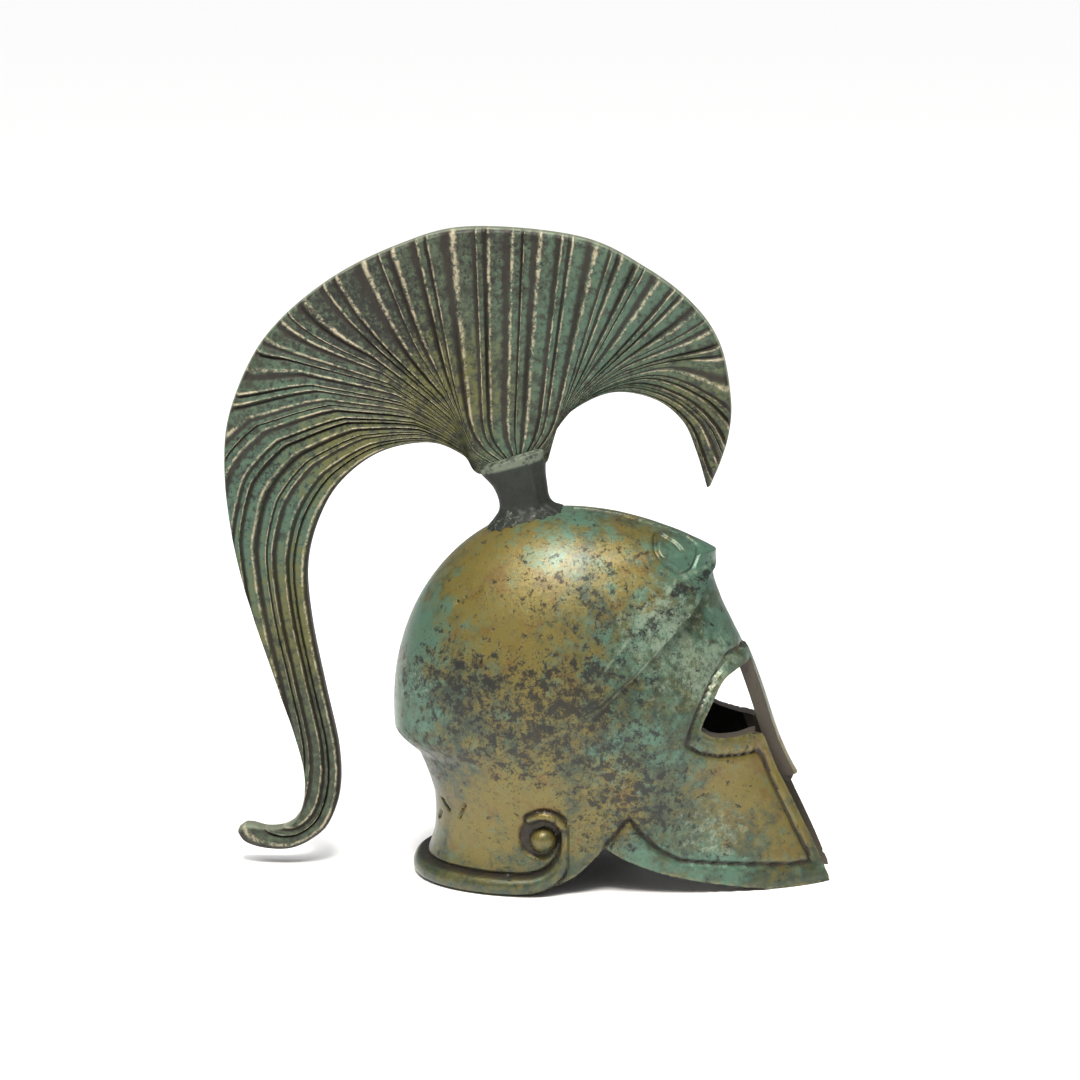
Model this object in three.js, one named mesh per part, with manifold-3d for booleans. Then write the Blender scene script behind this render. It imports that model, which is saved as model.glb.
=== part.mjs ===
// Greek bronze helmet with a tall crest: a small lost-wax casting that stands on its neck rim and
// cheek guards. Millimetres, +Z up, +X is the way the helmet faces, the floor is z = 0.
//
// Three pieces: the helmet shell is one casting, the crest (plume, socket and foot) is another,
// and a plain hidden pin locates the crest on the crown.

import * as THREE from 'three';
import { mergeVertices } from 'three/addons/utils/BufferGeometryUtils.js';
import Module from 'manifold-3d';

const wasm = await Module();
wasm.setup();

// ---------------------------------------------------------------- driving dimensions

const WALL = 3.0; // thickness of the cast wall
const GAP = 0.3; // clearance between separate pieces

// Bowl of the helmet: an egg whose widest section stands at BOWL_CENTRE.
const CROWN_X = 8.7; // highest point of the bowl
const CROWN_Z = 86.3;
const BOWL_CENTRE_Z = 40.0;
const BOWL_LENGTH_BACK = 39.7; // from the crown's axis to the back of the bowl
const BOWL_HALF_WIDTH = 27.5;
const BOWL_WIDEST_X = 8.0; // where its lower sections are widest
const BOWL_WIDE_Z = 38.0; // below this the sides of the bowl stand upright
const BOWL_BACK_POWER = 2.05; // 2 would be an ellipse
const MEDIAN_RIDGE_FALL = 0.0077; // the ridge falls by this times the square of the distance
const MEDIAN_RIDGE_END_Z = 77.0; // under this the front of the bowl follows a table
const FRONT_POWER = 1.15; // above 1 the front of a section is pointed
const BACK_POWER = 0.95;
const NECK_BACK_POWER = 0.82; // the neck guard is squarer at the floor
const FACE_TOP_Z = 76.0; // the neck and face tables end here, inside the bowl
const EDGE_DEPTH_BACK = 6.2; // how far down the overhang under the crease reaches
const EDGE_DEPTH_FRONT = 2.4;
const INNER_SOFTNESS = 4.0; // the same edge is this much deeper on the inner wall

const NASAL_HALF_WIDTH = 2.7;
const NASAL_END_Z = 22.4;
const NASAL_END_HALF_WIDTH = 1.4;
const NASAL_CORNER = 1.6; // height of the cut corners at its end
const NASAL_THINNING = 0.25; // share by which the wall is thinner along the front line
const SLOT_HALF_WIDTH_LOW = 5.8; // gap between the cheek guards, at the floor
const SLOT_HALF_WIDTH_HIGH = 7.8; // and level with the lower lids
const LOWER_LID_Z = 36.0;

const BORDER_RAISE = 0.55; // how far the cheek and eye borders stand proud
const SKIRT = 6.0; // depth below the floor to which the walls run before they are trimmed
const PIN_HOLE_BELOW = 5.0; // the hole starts this far under the pin, inside the hollow

const PLUME_HALF_THICKNESS = 2.3; // of the flat plume, without its ridges
const LOCK_COUNT = 23; // locks of hair on each face of the plume
const LOCK_RAISE = 0.8;
const LOCK_FULL_SPACING = 2.5; // locks closer together than this are raised less
const LOCK_ROWS = 21; // points along each lock
const LOCK_SAMPLES = 60; // places looked up on each lock before they are spread evenly
const PIN_RADIUS = 2.0;
const PIN_X = -0.6;
const PIN_LOW_Z = 81.0;
const PIN_HIGH_Z = 94.0;

// ---------------------------------------------------------------- tables

// Height of the sharp edge under the bowl, by bearing: 0 is the back, 180 the front.
const CREASE = {
  bearing: [0, 50, 70, 84, 94, 107, 122, 138, 155, 168, 180],
  z: [35.1, 35.5, 36.5, 38.4, 41.4, 49.7, 58.2, 65.3, 72.0, 73.6, 75.0],
};

// Front of the bowl's sections under the peak, where only their sides show.
const BOWL_FRONT = {
  z: [33, 40, 50, 60, 70, 72.5, 75, 77],
  x: [60, 58.5, 55.5, 51.5, 47.0, 45.1, 43.5, 43.45],
};

// Neck and face: back line, front line and half width at each height.
const NECK_BACK = {
  z: [-6, 0, 4.4, 7.3, 11, 14.7, 18.3, 22, 25.6, 29.2, 33, 45, 76],
  x: [-24.6, -24.3, -23.3, -22.3, -21.4, -21.2, -21.4, -22.3, -23.6, -25.2, -27, -28.5, -14],
};
const FACE_FRONT = {
  z: [-6, 0, 10, 20, 27, 35, 44, 52, 60, 66, 72, 76],
  x: [76.6, 73.9, 69.8, 64.8, 60.8, 57.4, 54.4, 51.5, 47.4, 44.6, 42.8, 42.6],
};
const FACE_HALF_WIDTH = {
  z: [-6, 0, 8, 15, 25, 33, 40, 50, 60, 76],
  y: [22.6, 22.4, 21.8, 22.2, 24.3, 26.0, 26.3, 25.0, 22.5, 16],
};
const FACE_WIDEST = { z: [0, 20, 40, 76], x: [5, 6, 8, 8] };

// Side view of the eye, from the outer corner over the top, past the nasal and back along the lid.
const EYE = {
  x: [40.6, 41.3, 42.4, 43.9, 45.2, 46.6, 48.8, 50.6, 53.0, 62.0, 80.0,
    80.0, 54.2, 52.9, 51.2, 49.0, 44.7, 42.5],
  z: [38.7, 40.8, 42.9, 45.9, 48.4, 49.8, 50.9, 51.5, 51.5, 49.0, 45.0,
    33.0, 35.5, 36.2, 36.3, 36.1, 36.5, 37.3],
};

// Side view of what is taken off the front of the nasal's end.
const NASAL_TIP_CUT = { x: [60.6, 62.0, 70, 70], z: [20.5, 24.4, 24.4, 20.5] };

// Side view of the ground line: neck rim, notch and cheek guard. What lies under it is cut away.
const GROUND_LINE = {
  x: [-1, 4.3, 7.7, 11.2, 13.4, 15.7, 17.5, 19.2, 22.5, 27.1, 31.7, 38.5, 45.3, 52.2, 58.0],
  z: [0, 0.7, 2.1, 3.9, 5.4, 7.6, 9.5, 11.2, 9.1, 7.0, 5.3, 3.5, 2.1, 0.9, 0.0],
};

// Side views of the raised borders: eye rim with lower lid, front of the cheek, foot of the cheek.
const EYE_BORDER = {
  x: [53.5, 50.0, 47.0, 44.8, 43.0, 41.5, 40.1, 39.1, 38.0, 40.5, 44.7, 49.5, 53.4, 60, 62],
  z: [53.0, 54.6, 54.0, 51.4, 48.2, 45.0, 42.1, 39.1, 35.9, 34.1, 32.8, 32.4, 32.5, 32.5, 48],
};
const CHEEK_FRONT_BORDER = {
  x: [53.4, 55.1, 57.6, 60.0, 62.9, 66.0, 66.8, 80, 80],
  z: [32.6, 31.0, 24.5, 19.6, 13.2, 7.2, 4.4, -6, 33],
};
const CHEEK_FOOT_BORDER = {
  x: [66.9, 61.6, 51.0, 45.3, 36.2, 31.4, 27.1, 24.6, 21.0, 19.5, 22.5, 30, 80],
  z: [4.4, 4.6, 5.7, 6.3, 7.4, 10.0, 13.9, 17.6, 13.0, 11.2, 5.0, -6, -6],
};

// Rolled bead round the neck rim: side view, and its radius as it curls up into the scroll.
const NECK_BEAD = {
  x: [-26, -16, -4, 3, 7.6, 10.0, 10.4, 8.6, 5.2, 2.0],
  z: [2.0, 2.0, 2.1, 2.7, 5.2, 9.4, 14.2, 17.9, 19.3, 18.2],
  radius: [2.3, 2.3, 2.2, 2.1, 1.8, 1.5, 1.2, 1.0, 0.9, 0.8],
};
const BEAD_CENTRE_X = 2.0; // the bead's sections face away from here
const BEAD_PROUD = 0.3; // its middle line lies this far outside the skin
const BEAD_BACK_BEARING = 52 * Math.PI / 180;
const BEAD_BACK_STEPS = 18;
const BEAD_SIDE_STEPS = 20;
const BEAD_SIDES = 8;
const SCROLL = { x: 4.3, z: 13.8, recess: 5.4, knob: 2.9, knobSunk: 0.9, depth: 0.8 };

// Engraved line beside the median ridge and the scroll that it ends in: top of the bowl's side.
const BROW_SCROLL = {
  x: 33.6,
  z: 77.3,
  turns: 1.35,
  startDegrees: 80,
  outer: 4.6,
  inner: 1.3,
  heightShare: 0.8,
  width: 1.1,
  depth: 0.6,
  steps: 22,
};
const BROW_LINE = { x: [14.5, 20, 26, 31.5], z: [85.9, 85.0, 83.3, 81.6] };

// Outline of the plume, tail tip first: x and z of its inner edge and of its outer edge.
const PLUME = {
  innerX: [-68.0, -66.2, -61.5, -55.5, -50.2, -46.3, -43.9, -44.1, -47.0, -50.0, -50.8, -48.1, -42.6,
    -33.5, -22.3, -14.5, -10.2, 3.9, 4.6, 9.2, 19.0, 28.8, 35.5, 38.8, 41.3],
  innerZ: [7.6, 5.3, 3.9, 4.0, 6.6, 10.6, 18.5, 28.8, 43.0, 59.0, 71.8, 82.7, 92.0,
    98.9, 101.2, 98.3, 93.9, 96.5, 100.7, 107.9, 113.1, 111.9, 106.9, 99.7, 91.4],
  outerX: [-67.9, -65.6, -61.0, -56.7, -54.0, -52.3, -52.2, -54.2, -59.0, -64.2, -68.1, -69.6, -67.8,
    -59.9, -45.9, -29.0, -13.0, 12.0, 27.5, 38.1, 44.1, 46.5, 46.1, 44.3, 42.0],
  outerZ: [8.4, 9.7, 8.7, 9.3, 11.4, 15.8, 22.5, 31.0, 46.0, 62.0, 78.5, 95.0, 108.8,
    125.0, 137.7, 146.4, 150.5, 148.4, 141.1, 132.8, 123.6, 111.5, 104.0, 97.6, 91.9],
};
const LIP_LEFT = 16; // rows of PLUME between which the hair leaves the socket
const LIP_RIGHT = 17;

// Share of the locks that have reached the outer edge by each row of PLUME.
const LOCKS_OUT = {
  row: [0, 4, 6, 8, 10, 11, 12, 13, 14, 15, 16, 17, 18, 19, 20, 21, 22, 23, 24],
  share: [0, 0.05, 0.07, 0.1, 0.13, 0.165, 0.205, 0.28, 0.36, 0.435, 0.5, 0.62, 0.71, 0.785, 0.845,
    0.89, 0.92, 0.96, 1],
};

// Socket under the plume: sections from the foot on the crown up to the slanted lip.
const SOCKET = {
  leftX: [-11.0, -8.5, -6.8, -6.3, -6.7, -8.0, -10.7, -10.4, -9.4],
  rightX: [13.5, 9.0, 6.2, 5.1, 4.7, 4.3, 4.4, 4.2, 3.4],
  leftZ: [79.0, 82.2, 84.6, 86.4, 88.6, 91.2, 94.2, 95.6, 96.3],
  rightZ: [83.0, 85.9, 87.2, 88.8, 91.2, 94.6, 98.4, 100.0, 100.4],
  halfWidth: [8.5, 6.4, 4.6, 4.0, 3.8, 3.9, 4.5, 4.5, 3.2],
  sides: 22,
  cornerPower: 0.7, // 1 would be an ellipse, 0 a rectangle
};

// ---------------------------------------------------------------- small maths

const degrees = Math.PI / 180;

function mix(a, b, share) {
  return a + (b - a) * share;
}

function smoothStep(low, high, value) {
  const share = Math.min(1, Math.max(0, (value - low) / (high - low)));
  return share * share * (3 - 2 * share);
}

// Straight-line reading of a table.
function read(keys, values, key) {
  if (key <= keys[0]) return values[0];
  for (let row = 1; row < keys.length; row++) {
    if (key <= keys[row]) {
      return mix(values[row - 1], values[row], (key - keys[row - 1]) / (keys[row] - keys[row - 1]));
    }
  }
  return values[values.length - 1];
}

// Smooth reading of a table that never overshoots its rows (monotone cubic).
function flow(keys, values, key) {
  const last = keys.length - 1;
  const slope = (row) => (values[row + 1] - values[row]) / (keys[row + 1] - keys[row]);
  const tangent = (row) => {
    if (row === 0) return slope(0);
    if (row === last) return slope(last - 1);
    const before = slope(row - 1);
    const after = slope(row);
    return before * after > 0 ? (2 * before * after) / (before + after) : 0;
  };
  let row = 0;
  while (row < last - 1 && key > keys[row + 1]) row++;
  const span = keys[row + 1] - keys[row];
  const t = Math.min(1, Math.max(0, (key - keys[row]) / span));
  const start = (2 * t - 3) * t * t + 1;
  const rise = ((t - 2) * t + 1) * t * span;
  const fall = (t - 1) * t * t * span;
  const slopes = rise * tangent(row) + fall * tangent(row + 1);
  return start * values[row] + (1 - start) * values[row + 1] + slopes;
}

// Catmull-Rom curve through a column of numbers, one row to each unit of t.
function curve(column, t) {
  const last = column.length - 1;
  const row = Math.min(last - 1, Math.max(0, Math.floor(t)));
  const s = t - row;
  const b = column[row];
  const c = column[row + 1];
  const a = row > 0 ? column[row - 1] : 2 * b - c;
  const d = row + 1 < last ? column[row + 2] : 2 * c - b;
  return b + 0.5 * s * (c - a + s * (2 * a - 5 * b + 4 * c - d + s * (3 * (b - c) + d - a)));
}

// ---------------------------------------------------------------- the helmet's surface

// A level section: half egg behind the widest point, half pointed egg before it.
function section(bearing, backX, frontX, widestX, halfWidth, backPower, frontPower) {
  const c = Math.cos(bearing);
  const s = Math.abs(Math.sin(bearing));
  if (c > 0) return [widestX - (widestX - backX) * c, halfWidth * Math.pow(s, backPower)];
  return [widestX - (frontX - widestX) * c, halfWidth * Math.pow(s, frontPower)];
}

function bowl(bearing, z) {
  const rise = CROWN_Z - BOWL_CENTRE_Z;
  const backShare = Math.sqrt(Math.max(0, 1 - (Math.abs(z - BOWL_CENTRE_Z) / rise) ** BOWL_BACK_POWER));
  const sideRise = (Math.max(z, BOWL_WIDE_Z) - BOWL_WIDE_Z) / (CROWN_Z - BOWL_WIDE_Z);
  const sideShare = Math.sqrt(Math.max(0, 1 - sideRise ** 2));
  const frontX = z > MEDIAN_RIDGE_END_Z
    ? CROWN_X + Math.sqrt(Math.max(0, CROWN_Z - z) / MEDIAN_RIDGE_FALL)
    : flow(BOWL_FRONT.z, BOWL_FRONT.x, z);
  const widestX = mix(BOWL_WIDEST_X, CROWN_X, smoothStep(60, CROWN_Z, z));
  const backX = CROWN_X - BOWL_LENGTH_BACK * backShare;
  const halfWidth = BOWL_HALF_WIDTH * sideShare;
  return section(bearing, backX, frontX, widestX, halfWidth, BACK_POWER, FRONT_POWER);
}

function face(bearing, z) {
  const backX = flow(NECK_BACK.z, NECK_BACK.x, z);
  const frontX = flow(FACE_FRONT.z, FACE_FRONT.x, z);
  const halfWidth = flow(FACE_HALF_WIDTH.z, FACE_HALF_WIDTH.y, z);
  const widestX = flow(FACE_WIDEST.z, FACE_WIDEST.x, z);
  const backPower = mix(NECK_BACK_POWER, BACK_POWER, smoothStep(0, 30, z));
  return section(bearing, backX, frontX, widestX, halfWidth, backPower, FRONT_POWER);
}

// A bearing on the right side as the same bearing on the left.
function onLeft(bearing) {
  return bearing <= Math.PI ? bearing : 2 * Math.PI - bearing;
}

// Point of the skin at a bearing and a level. Levels above 0 run from the crease to the crown;
// levels from 0 to -1 go round the overhanging edge, and those from -1 to -2 down to the skirt.
// Softness widens the edge, for the smoother inner wall.
function skin(bearing, level, softness) {
  const left = onLeft(bearing);
  const side = bearing <= Math.PI ? 1 : -1;
  const creaseZ = flow(CREASE.bearing, CREASE.z, left / degrees);
  const frontEdge = smoothStep(60 * degrees, 110 * degrees, left);
  const edgeDepth = mix(EDGE_DEPTH_BACK, EDGE_DEPTH_FRONT, frontEdge) + softness;
  let z = creaseZ;
  if (level > 0) z = creaseZ + (CROWN_Z - creaseZ) * Math.sin(level * Math.PI / 2);
  else if (level > -1) z = creaseZ + level * edgeDepth;
  else z = mix(creaseZ - edgeDepth, -SKIRT, -1 - level);
  if (level >= 0 && softness === 0) {
    const [x, y] = bowl(left, z);
    return new THREE.Vector3(x, side * y, z);
  }
  const [bowlX, bowlY] = bowl(left, z);
  const [faceX, faceY] = face(left, Math.min(z, FACE_TOP_Z));
  const share = smoothStep(creaseZ + softness, creaseZ - edgeDepth, z);
  return new THREE.Vector3(mix(bowlX, faceX, share), side * mix(bowlY, faceY, share), z);
}

// The same point moved out along the surface's own normal.
function skinOffset(bearing, level, softness, offset) {
  const here = skin(bearing, level, softness);
  if (offset === 0) return here;
  const step = 0.02;
  const behind = skin(Math.max(0, bearing - step), level, softness);
  const around = skin(bearing + step, level, softness).sub(behind);
  const up = skin(bearing, level + step, softness).sub(skin(bearing, level - step, softness));
  const normal = around.cross(up).normalize();
  if (normal.x * (here.x - CROWN_X) + normal.y * here.y < 0) normal.negate();
  const onMiddlePlane = Math.abs(Math.sin(bearing)) < 0.001;
  if (onMiddlePlane) normal.setY(0).normalize();
  return here.addScaledVector(normal, offset);
}

// ---------------------------------------------------------------- solids from surfaces

function toSolid(positions, triangles) {
  return new wasm.Manifold(new wasm.Mesh({
    numProp: 3,
    vertProperties: new Float32Array(positions),
    triVerts: new Uint32Array(triangles),
  }));
}

function geometryToSolid(geometry) {
  geometry.deleteAttribute('normal');
  geometry.deleteAttribute('uv');
  const merged = mergeVertices(geometry, 1e-4);
  return toSolid(merged.attributes.position.array, merged.index.array);
}

// Rings of points, each as long as the others, closed by a point below and a point above.
function ringsToSolid(low, rings, high) {
  const count = rings[0].length;
  const positions = [...low.toArray()];
  for (const ring of rings) for (const point of ring) positions.push(...point.toArray());
  positions.push(...high.toArray());
  const top = 1 + rings.length * count;
  const triangles = [];
  for (let i = 0; i < count; i++) {
    const next = (i + 1) % count;
    triangles.push(0, 1 + i, 1 + next);
    for (let ring = 0; ring + 1 < rings.length; ring++) {
      const a = 1 + ring * count + i;
      const b = 1 + ring * count + next;
      triangles.push(b, a, b + count, b + count, a, a + count);
    }
    const lastRing = 1 + (rings.length - 1) * count;
    triangles.push(lastRing + next, lastRing + i, top);
  }
  return toSolid(positions, triangles);
}

// A side-view outline pushed straight through from y = near to y = far.
function prism(xs, zs, near, far) {
  const shape = new THREE.Shape(xs.map((x, i) => new THREE.Vector2(x, zs[i])));
  const geometry = new THREE.ExtrudeGeometry(shape, { depth: far - near, bevelEnabled: false });
  geometry.rotateX(Math.PI / 2);
  geometry.translate(0, far, 0);
  return geometryToSolid(geometry);
}

// A front-view outline pushed through from x = near to x = far.
function frontPrism(ys, zs, near, far) {
  const shape = new THREE.Shape(ys.map((y, i) => new THREE.Vector2(y, zs[i])));
  const geometry = new THREE.ExtrudeGeometry(shape, { depth: far - near, bevelEnabled: false });
  geometry.rotateX(Math.PI / 2);
  geometry.rotateZ(Math.PI / 2);
  geometry.translate(near, 0, 0);
  return geometryToSolid(geometry);
}

const BEARINGS = 44; // columns round the helmet
const OUTER_LEVELS = [-2, -1.88, -1.76, -1.64, -1.52, -1.4, -1.28, -1.14, -1, -0.67, -0.33, 0, 0.1, 0.22,
  0.35, 0.49, 0.63, 0.77, 0.9];
const INNER_LEVELS = [-2, -1.8, -1.6, -1.4, -1.2, -1, -0.5, 0, 0.2, 0.42, 0.65, 0.88];

function helmetSolid(levels, softness, offset) {
  const rings = levels.map((level) => {
    const ring = [];
    for (let i = 0; i < BEARINGS; i++) {
      const bearing = (2 * Math.PI * i) / BEARINGS;
      const frontness = smoothStep(150 * degrees, Math.PI, onLeft(bearing)) * smoothStep(-0.6, -1.1, level);
      const thinned = offset < -1 ? 1 - NASAL_THINNING * frontness : 1;
      ring.push(skinOffset(bearing, level, softness, offset * thinned));
    }
    return ring;
  });
  const low = new THREE.Vector3(20, 0, rings[0][0].z);
  return ringsToSolid(low, rings, new THREE.Vector3(CROWN_X, 0, CROWN_Z + offset));
}

const WIDE = 45; // half width that clears the helmet on both sides
const AHEAD = 90; // and a distance that clears its front
const SLOT_BACK_X = 45; // the slot is cut from here forward

function joined(solids) {
  return solids.reduce((whole, solid) => whole.add(solid));
}

// Both halves of something made on the left, +Y side.
function bothSides(solid) {
  return solid.add(solid.mirror([0, 1, 0]));
}

// ---------------------------------------------------------------- openings of the face

function faceOpenings() {
  const eye = prism(EYE.x, EYE.z, NASAL_HALF_WIDTH, WIDE);
  const wide = NASAL_HALF_WIDTH;
  const narrow = NASAL_END_HALF_WIDTH;
  const cornerZ = NASAL_END_Z + NASAL_CORNER;
  const nasal = frontPrism(
    [-wide, -wide, -narrow, narrow, wide, wide],
    [60, cornerZ, NASAL_END_Z, NASAL_END_Z, cornerZ, 60],
    30, AHEAD);
  const low = SLOT_HALF_WIDTH_LOW;
  const high = SLOT_HALF_WIDTH_HIGH;
  const slot = frontPrism([-low, -high, high, low], [-2 * SKIRT, LOWER_LID_Z, LOWER_LID_Z, -2 * SKIRT],
    SLOT_BACK_X, AHEAD);
  const nasalTip = prism(NASAL_TIP_CUT.x, NASAL_TIP_CUT.z, -WIDE, WIDE)
    .intersect(frontPrism([-low, low, low, -low], [10, 10, 30, 30], SLOT_BACK_X, AHEAD));
  return bothSides(eye).add(slot.subtract(nasal)).add(nasalTip);
}

function underGroundLine() {
  const xs = [...GROUND_LINE.x, 90, 90, -60, -60];
  const zs = [...GROUND_LINE.z, 0, -40, -40, 0];
  return prism(xs, zs, -WIDE, WIDE);
}

// ---------------------------------------------------------------- cast relief of the shell

// Point on the skin seen at x, z in side view, moved out by an offset.
function onSide(x, z, offset, surface = face) {
  let low = 0;
  let high = Math.PI;
  for (let round = 0; round < 40; round++) {
    const middle = (low + high) / 2;
    if (surface(middle, z)[0] < x) low = middle;
    else high = middle;
  }
  const bearing = (low + high) / 2;
  const [backX, backY] = surface(bearing - 0.01, z);
  const [frontX, frontY] = surface(bearing + 0.01, z);
  const [, y] = surface(bearing, z);
  const outward = new THREE.Vector2(-(frontY - backY), frontX - backX).normalize();
  return new THREE.Vector3(x + outward.x * offset, y + outward.y * offset, z);
}

// A closed bar through given points with a radius at each, flat ends, equal sides. The first side
// of each ring faces away from a line that stands inside the neck, so that the bar doesn't twist.
function bar(points, radii, sides) {
  const rings = points.map((point, i) => {
    const before = points[Math.max(0, i - 1)];
    const after = points[Math.min(points.length - 1, i + 1)];
    const along = after.clone().sub(before).normalize();
    const outward = new THREE.Vector3(point.x - BEAD_CENTRE_X, point.y, 0).normalize();
    const across = along.clone().cross(outward).normalize();
    const facing = across.clone().cross(along).normalize();
    const ring = [];
    for (let k = 0; k < sides; k++) {
      const turn = (2 * Math.PI * k) / sides;
      ring.push(point.clone()
        .addScaledVector(across, radii[i] * Math.cos(turn))
        .addScaledVector(facing, radii[i] * Math.sin(turn)));
    }
    return ring;
  });
  return outwardSolid(points[0], rings, points[points.length - 1]);
}

// Rings that may run either way round: turned so that the solid's faces point out.
function outwardSolid(low, rings, high) {
  const solid = ringsToSolid(low, rings, high);
  if (solid.volume() > 0) return solid;
  return ringsToSolid(low, rings.map((ring) => [...ring].reverse()), high);
}

// Half of the bead: from the middle of the back to the side by bearing, then on by its side view
// and up into the scroll.
function neckRim() {
  const points = [];
  const radii = [];
  const backZ = NECK_BEAD.z[0];
  for (let i = 0; i <= BEAD_BACK_STEPS; i++) {
    const bearing = mix(0, BEAD_BACK_BEARING, i / BEAD_BACK_STEPS);
    const [x, y] = face(bearing, backZ);
    const outward = new THREE.Vector2(x - BEAD_CENTRE_X, y).normalize();
    points.push(new THREE.Vector3(x + outward.x * BEAD_PROUD, y + outward.y * BEAD_PROUD, backZ));
    radii.push(NECK_BEAD.radius[0]);
  }
  const joinX = points[points.length - 1].x + 1;
  const sideRows = NECK_BEAD.x.length - 1;
  for (let i = 1; i <= BEAD_SIDE_STEPS; i++) {
    const row = mix(1, sideRows, i / BEAD_SIDE_STEPS);
    const x = curve(NECK_BEAD.x, row);
    const beforeTheJoin = row < 3 && x <= joinX;
    if (beforeTheJoin) continue;
    points.push(onSide(x, curve(NECK_BEAD.z, row), BEAD_PROUD));
    radii.push(curve(NECK_BEAD.radius, row));
  }
  return bar(points, radii, BEAD_SIDES);
}

// Raised borders of the eyes and cheeks: a thicker skin, kept only inside their side views.
function raisedBorders() {
  const thicker = helmetSolid(OUTER_LEVELS, 0, BORDER_RAISE);
  const bands = [EYE_BORDER, CHEEK_FRONT_BORDER, CHEEK_FOOT_BORDER]
    .map((band) => prism(band.x, band.z, -WIDE, WIDE));
  return thicker.intersect(joined(bands));
}

function disc(x, z, radius, near, far) {
  const geometry = new THREE.CylinderGeometry(radius, radius, far - near, 24);
  geometry.translate(x, (near + far) / 2, z);
  return geometryToSolid(geometry);
}

// Sunk round field of the neck scroll, on both sides.
function scrollFields(skinSunk) {
  const field = disc(SCROLL.x, SCROLL.z, SCROLL.recess, 10, WIDE);
  return bothSides(field).subtract(skinSunk);
}

function scrollKnobs() {
  const centre = onSide(SCROLL.x, SCROLL.z, -SCROLL.knobSunk);
  const geometry = new THREE.SphereGeometry(SCROLL.knob, 12, 8);
  geometry.translate(centre.x, centre.y, centre.z);
  return bothSides(geometryToSolid(geometry));
}

// Side view of a line of even width, as one closed outline.
function ribbon(points, width) {
  const left = [];
  const right = [];
  points.forEach(([x, z], i) => {
    const [beforeX, beforeZ] = points[Math.max(0, i - 1)];
    const [afterX, afterZ] = points[Math.min(points.length - 1, i + 1)];
    const length = Math.hypot(afterX - beforeX, afterZ - beforeZ);
    const acrossX = (-(afterZ - beforeZ) / length) * (width / 2);
    const acrossZ = ((afterX - beforeX) / length) * (width / 2);
    left.push([x + acrossX, z + acrossZ]);
    right.push([x - acrossX, z - acrossZ]);
  });
  return [...left, ...right.reverse()];
}

// The line that runs forward beside the median ridge and winds into a scroll over the brow.
function browScrolls(skinSunk) {
  const points = BROW_LINE.x.map((x, i) => [x, BROW_LINE.z[i]]);
  for (let i = 0; i <= BROW_SCROLL.steps; i++) {
    const share = i / BROW_SCROLL.steps;
    const turn = BROW_SCROLL.startDegrees * degrees - share * BROW_SCROLL.turns * 2 * Math.PI;
    const radius = mix(BROW_SCROLL.outer, BROW_SCROLL.inner, share);
    points.push([
      BROW_SCROLL.x + radius * Math.cos(turn),
      BROW_SCROLL.z + BROW_SCROLL.heightShare * radius * Math.sin(turn),
    ]);
  }
  const outline = ribbon(points, BROW_SCROLL.width);
  const cutter = prism(outline.map(([x]) => x), outline.map(([, z]) => z), 0.4, WIDE);
  return bothSides(cutter).subtract(skinSunk);
}

// ---------------------------------------------------------------- helmet shell

function pinSolid(radius, lowZ, highZ) {
  const geometry = new THREE.CylinderGeometry(radius, radius, highZ - lowZ, 24);
  geometry.rotateX(Math.PI / 2);
  geometry.translate(PIN_X, 0, (lowZ + highZ) / 2);
  return geometryToSolid(geometry);
}

function helmetShell() {
  const hollow = helmetSolid(INNER_LEVELS, INNER_SOFTNESS, -WALL);
  const scrollSkin = helmetSolid(OUTER_LEVELS, 0, -SCROLL.depth);
  const browSkin = helmetSolid(OUTER_LEVELS, 0, -BROW_SCROLL.depth);
  return helmetSolid(OUTER_LEVELS, 0, 0)
    .add(raisedBorders())
    .subtract(scrollFields(scrollSkin))
    .subtract(browScrolls(browSkin))
    .add(scrollKnobs())
    .add(bothSides(neckRim()))
    .subtract(hollow)
    .subtract(faceOpenings())
    .subtract(underGroundLine())
    .subtract(pinSolid(PIN_RADIUS + GAP, PIN_LOW_Z - PIN_HOLE_BELOW, PIN_HIGH_Z));
}

// ---------------------------------------------------------------- crest

function plumeEdge(edge, row) {
  return new THREE.Vector2(curve(PLUME[edge + 'X'], row), curve(PLUME[edge + 'Z'], row));
}

// Share of the locks that lie below a point of the plume: across each row they spread evenly, from
// those that have left the socket by that row to those that have reached the outer edge.
function locksBelow(row, height) {
  const leaving = Math.min(1, Math.max(0, (row - LIP_LEFT) / (LIP_RIGHT - LIP_LEFT)));
  return mix(leaving, read(LOCKS_OUT.row, LOCKS_OUT.share, row), height);
}

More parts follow.
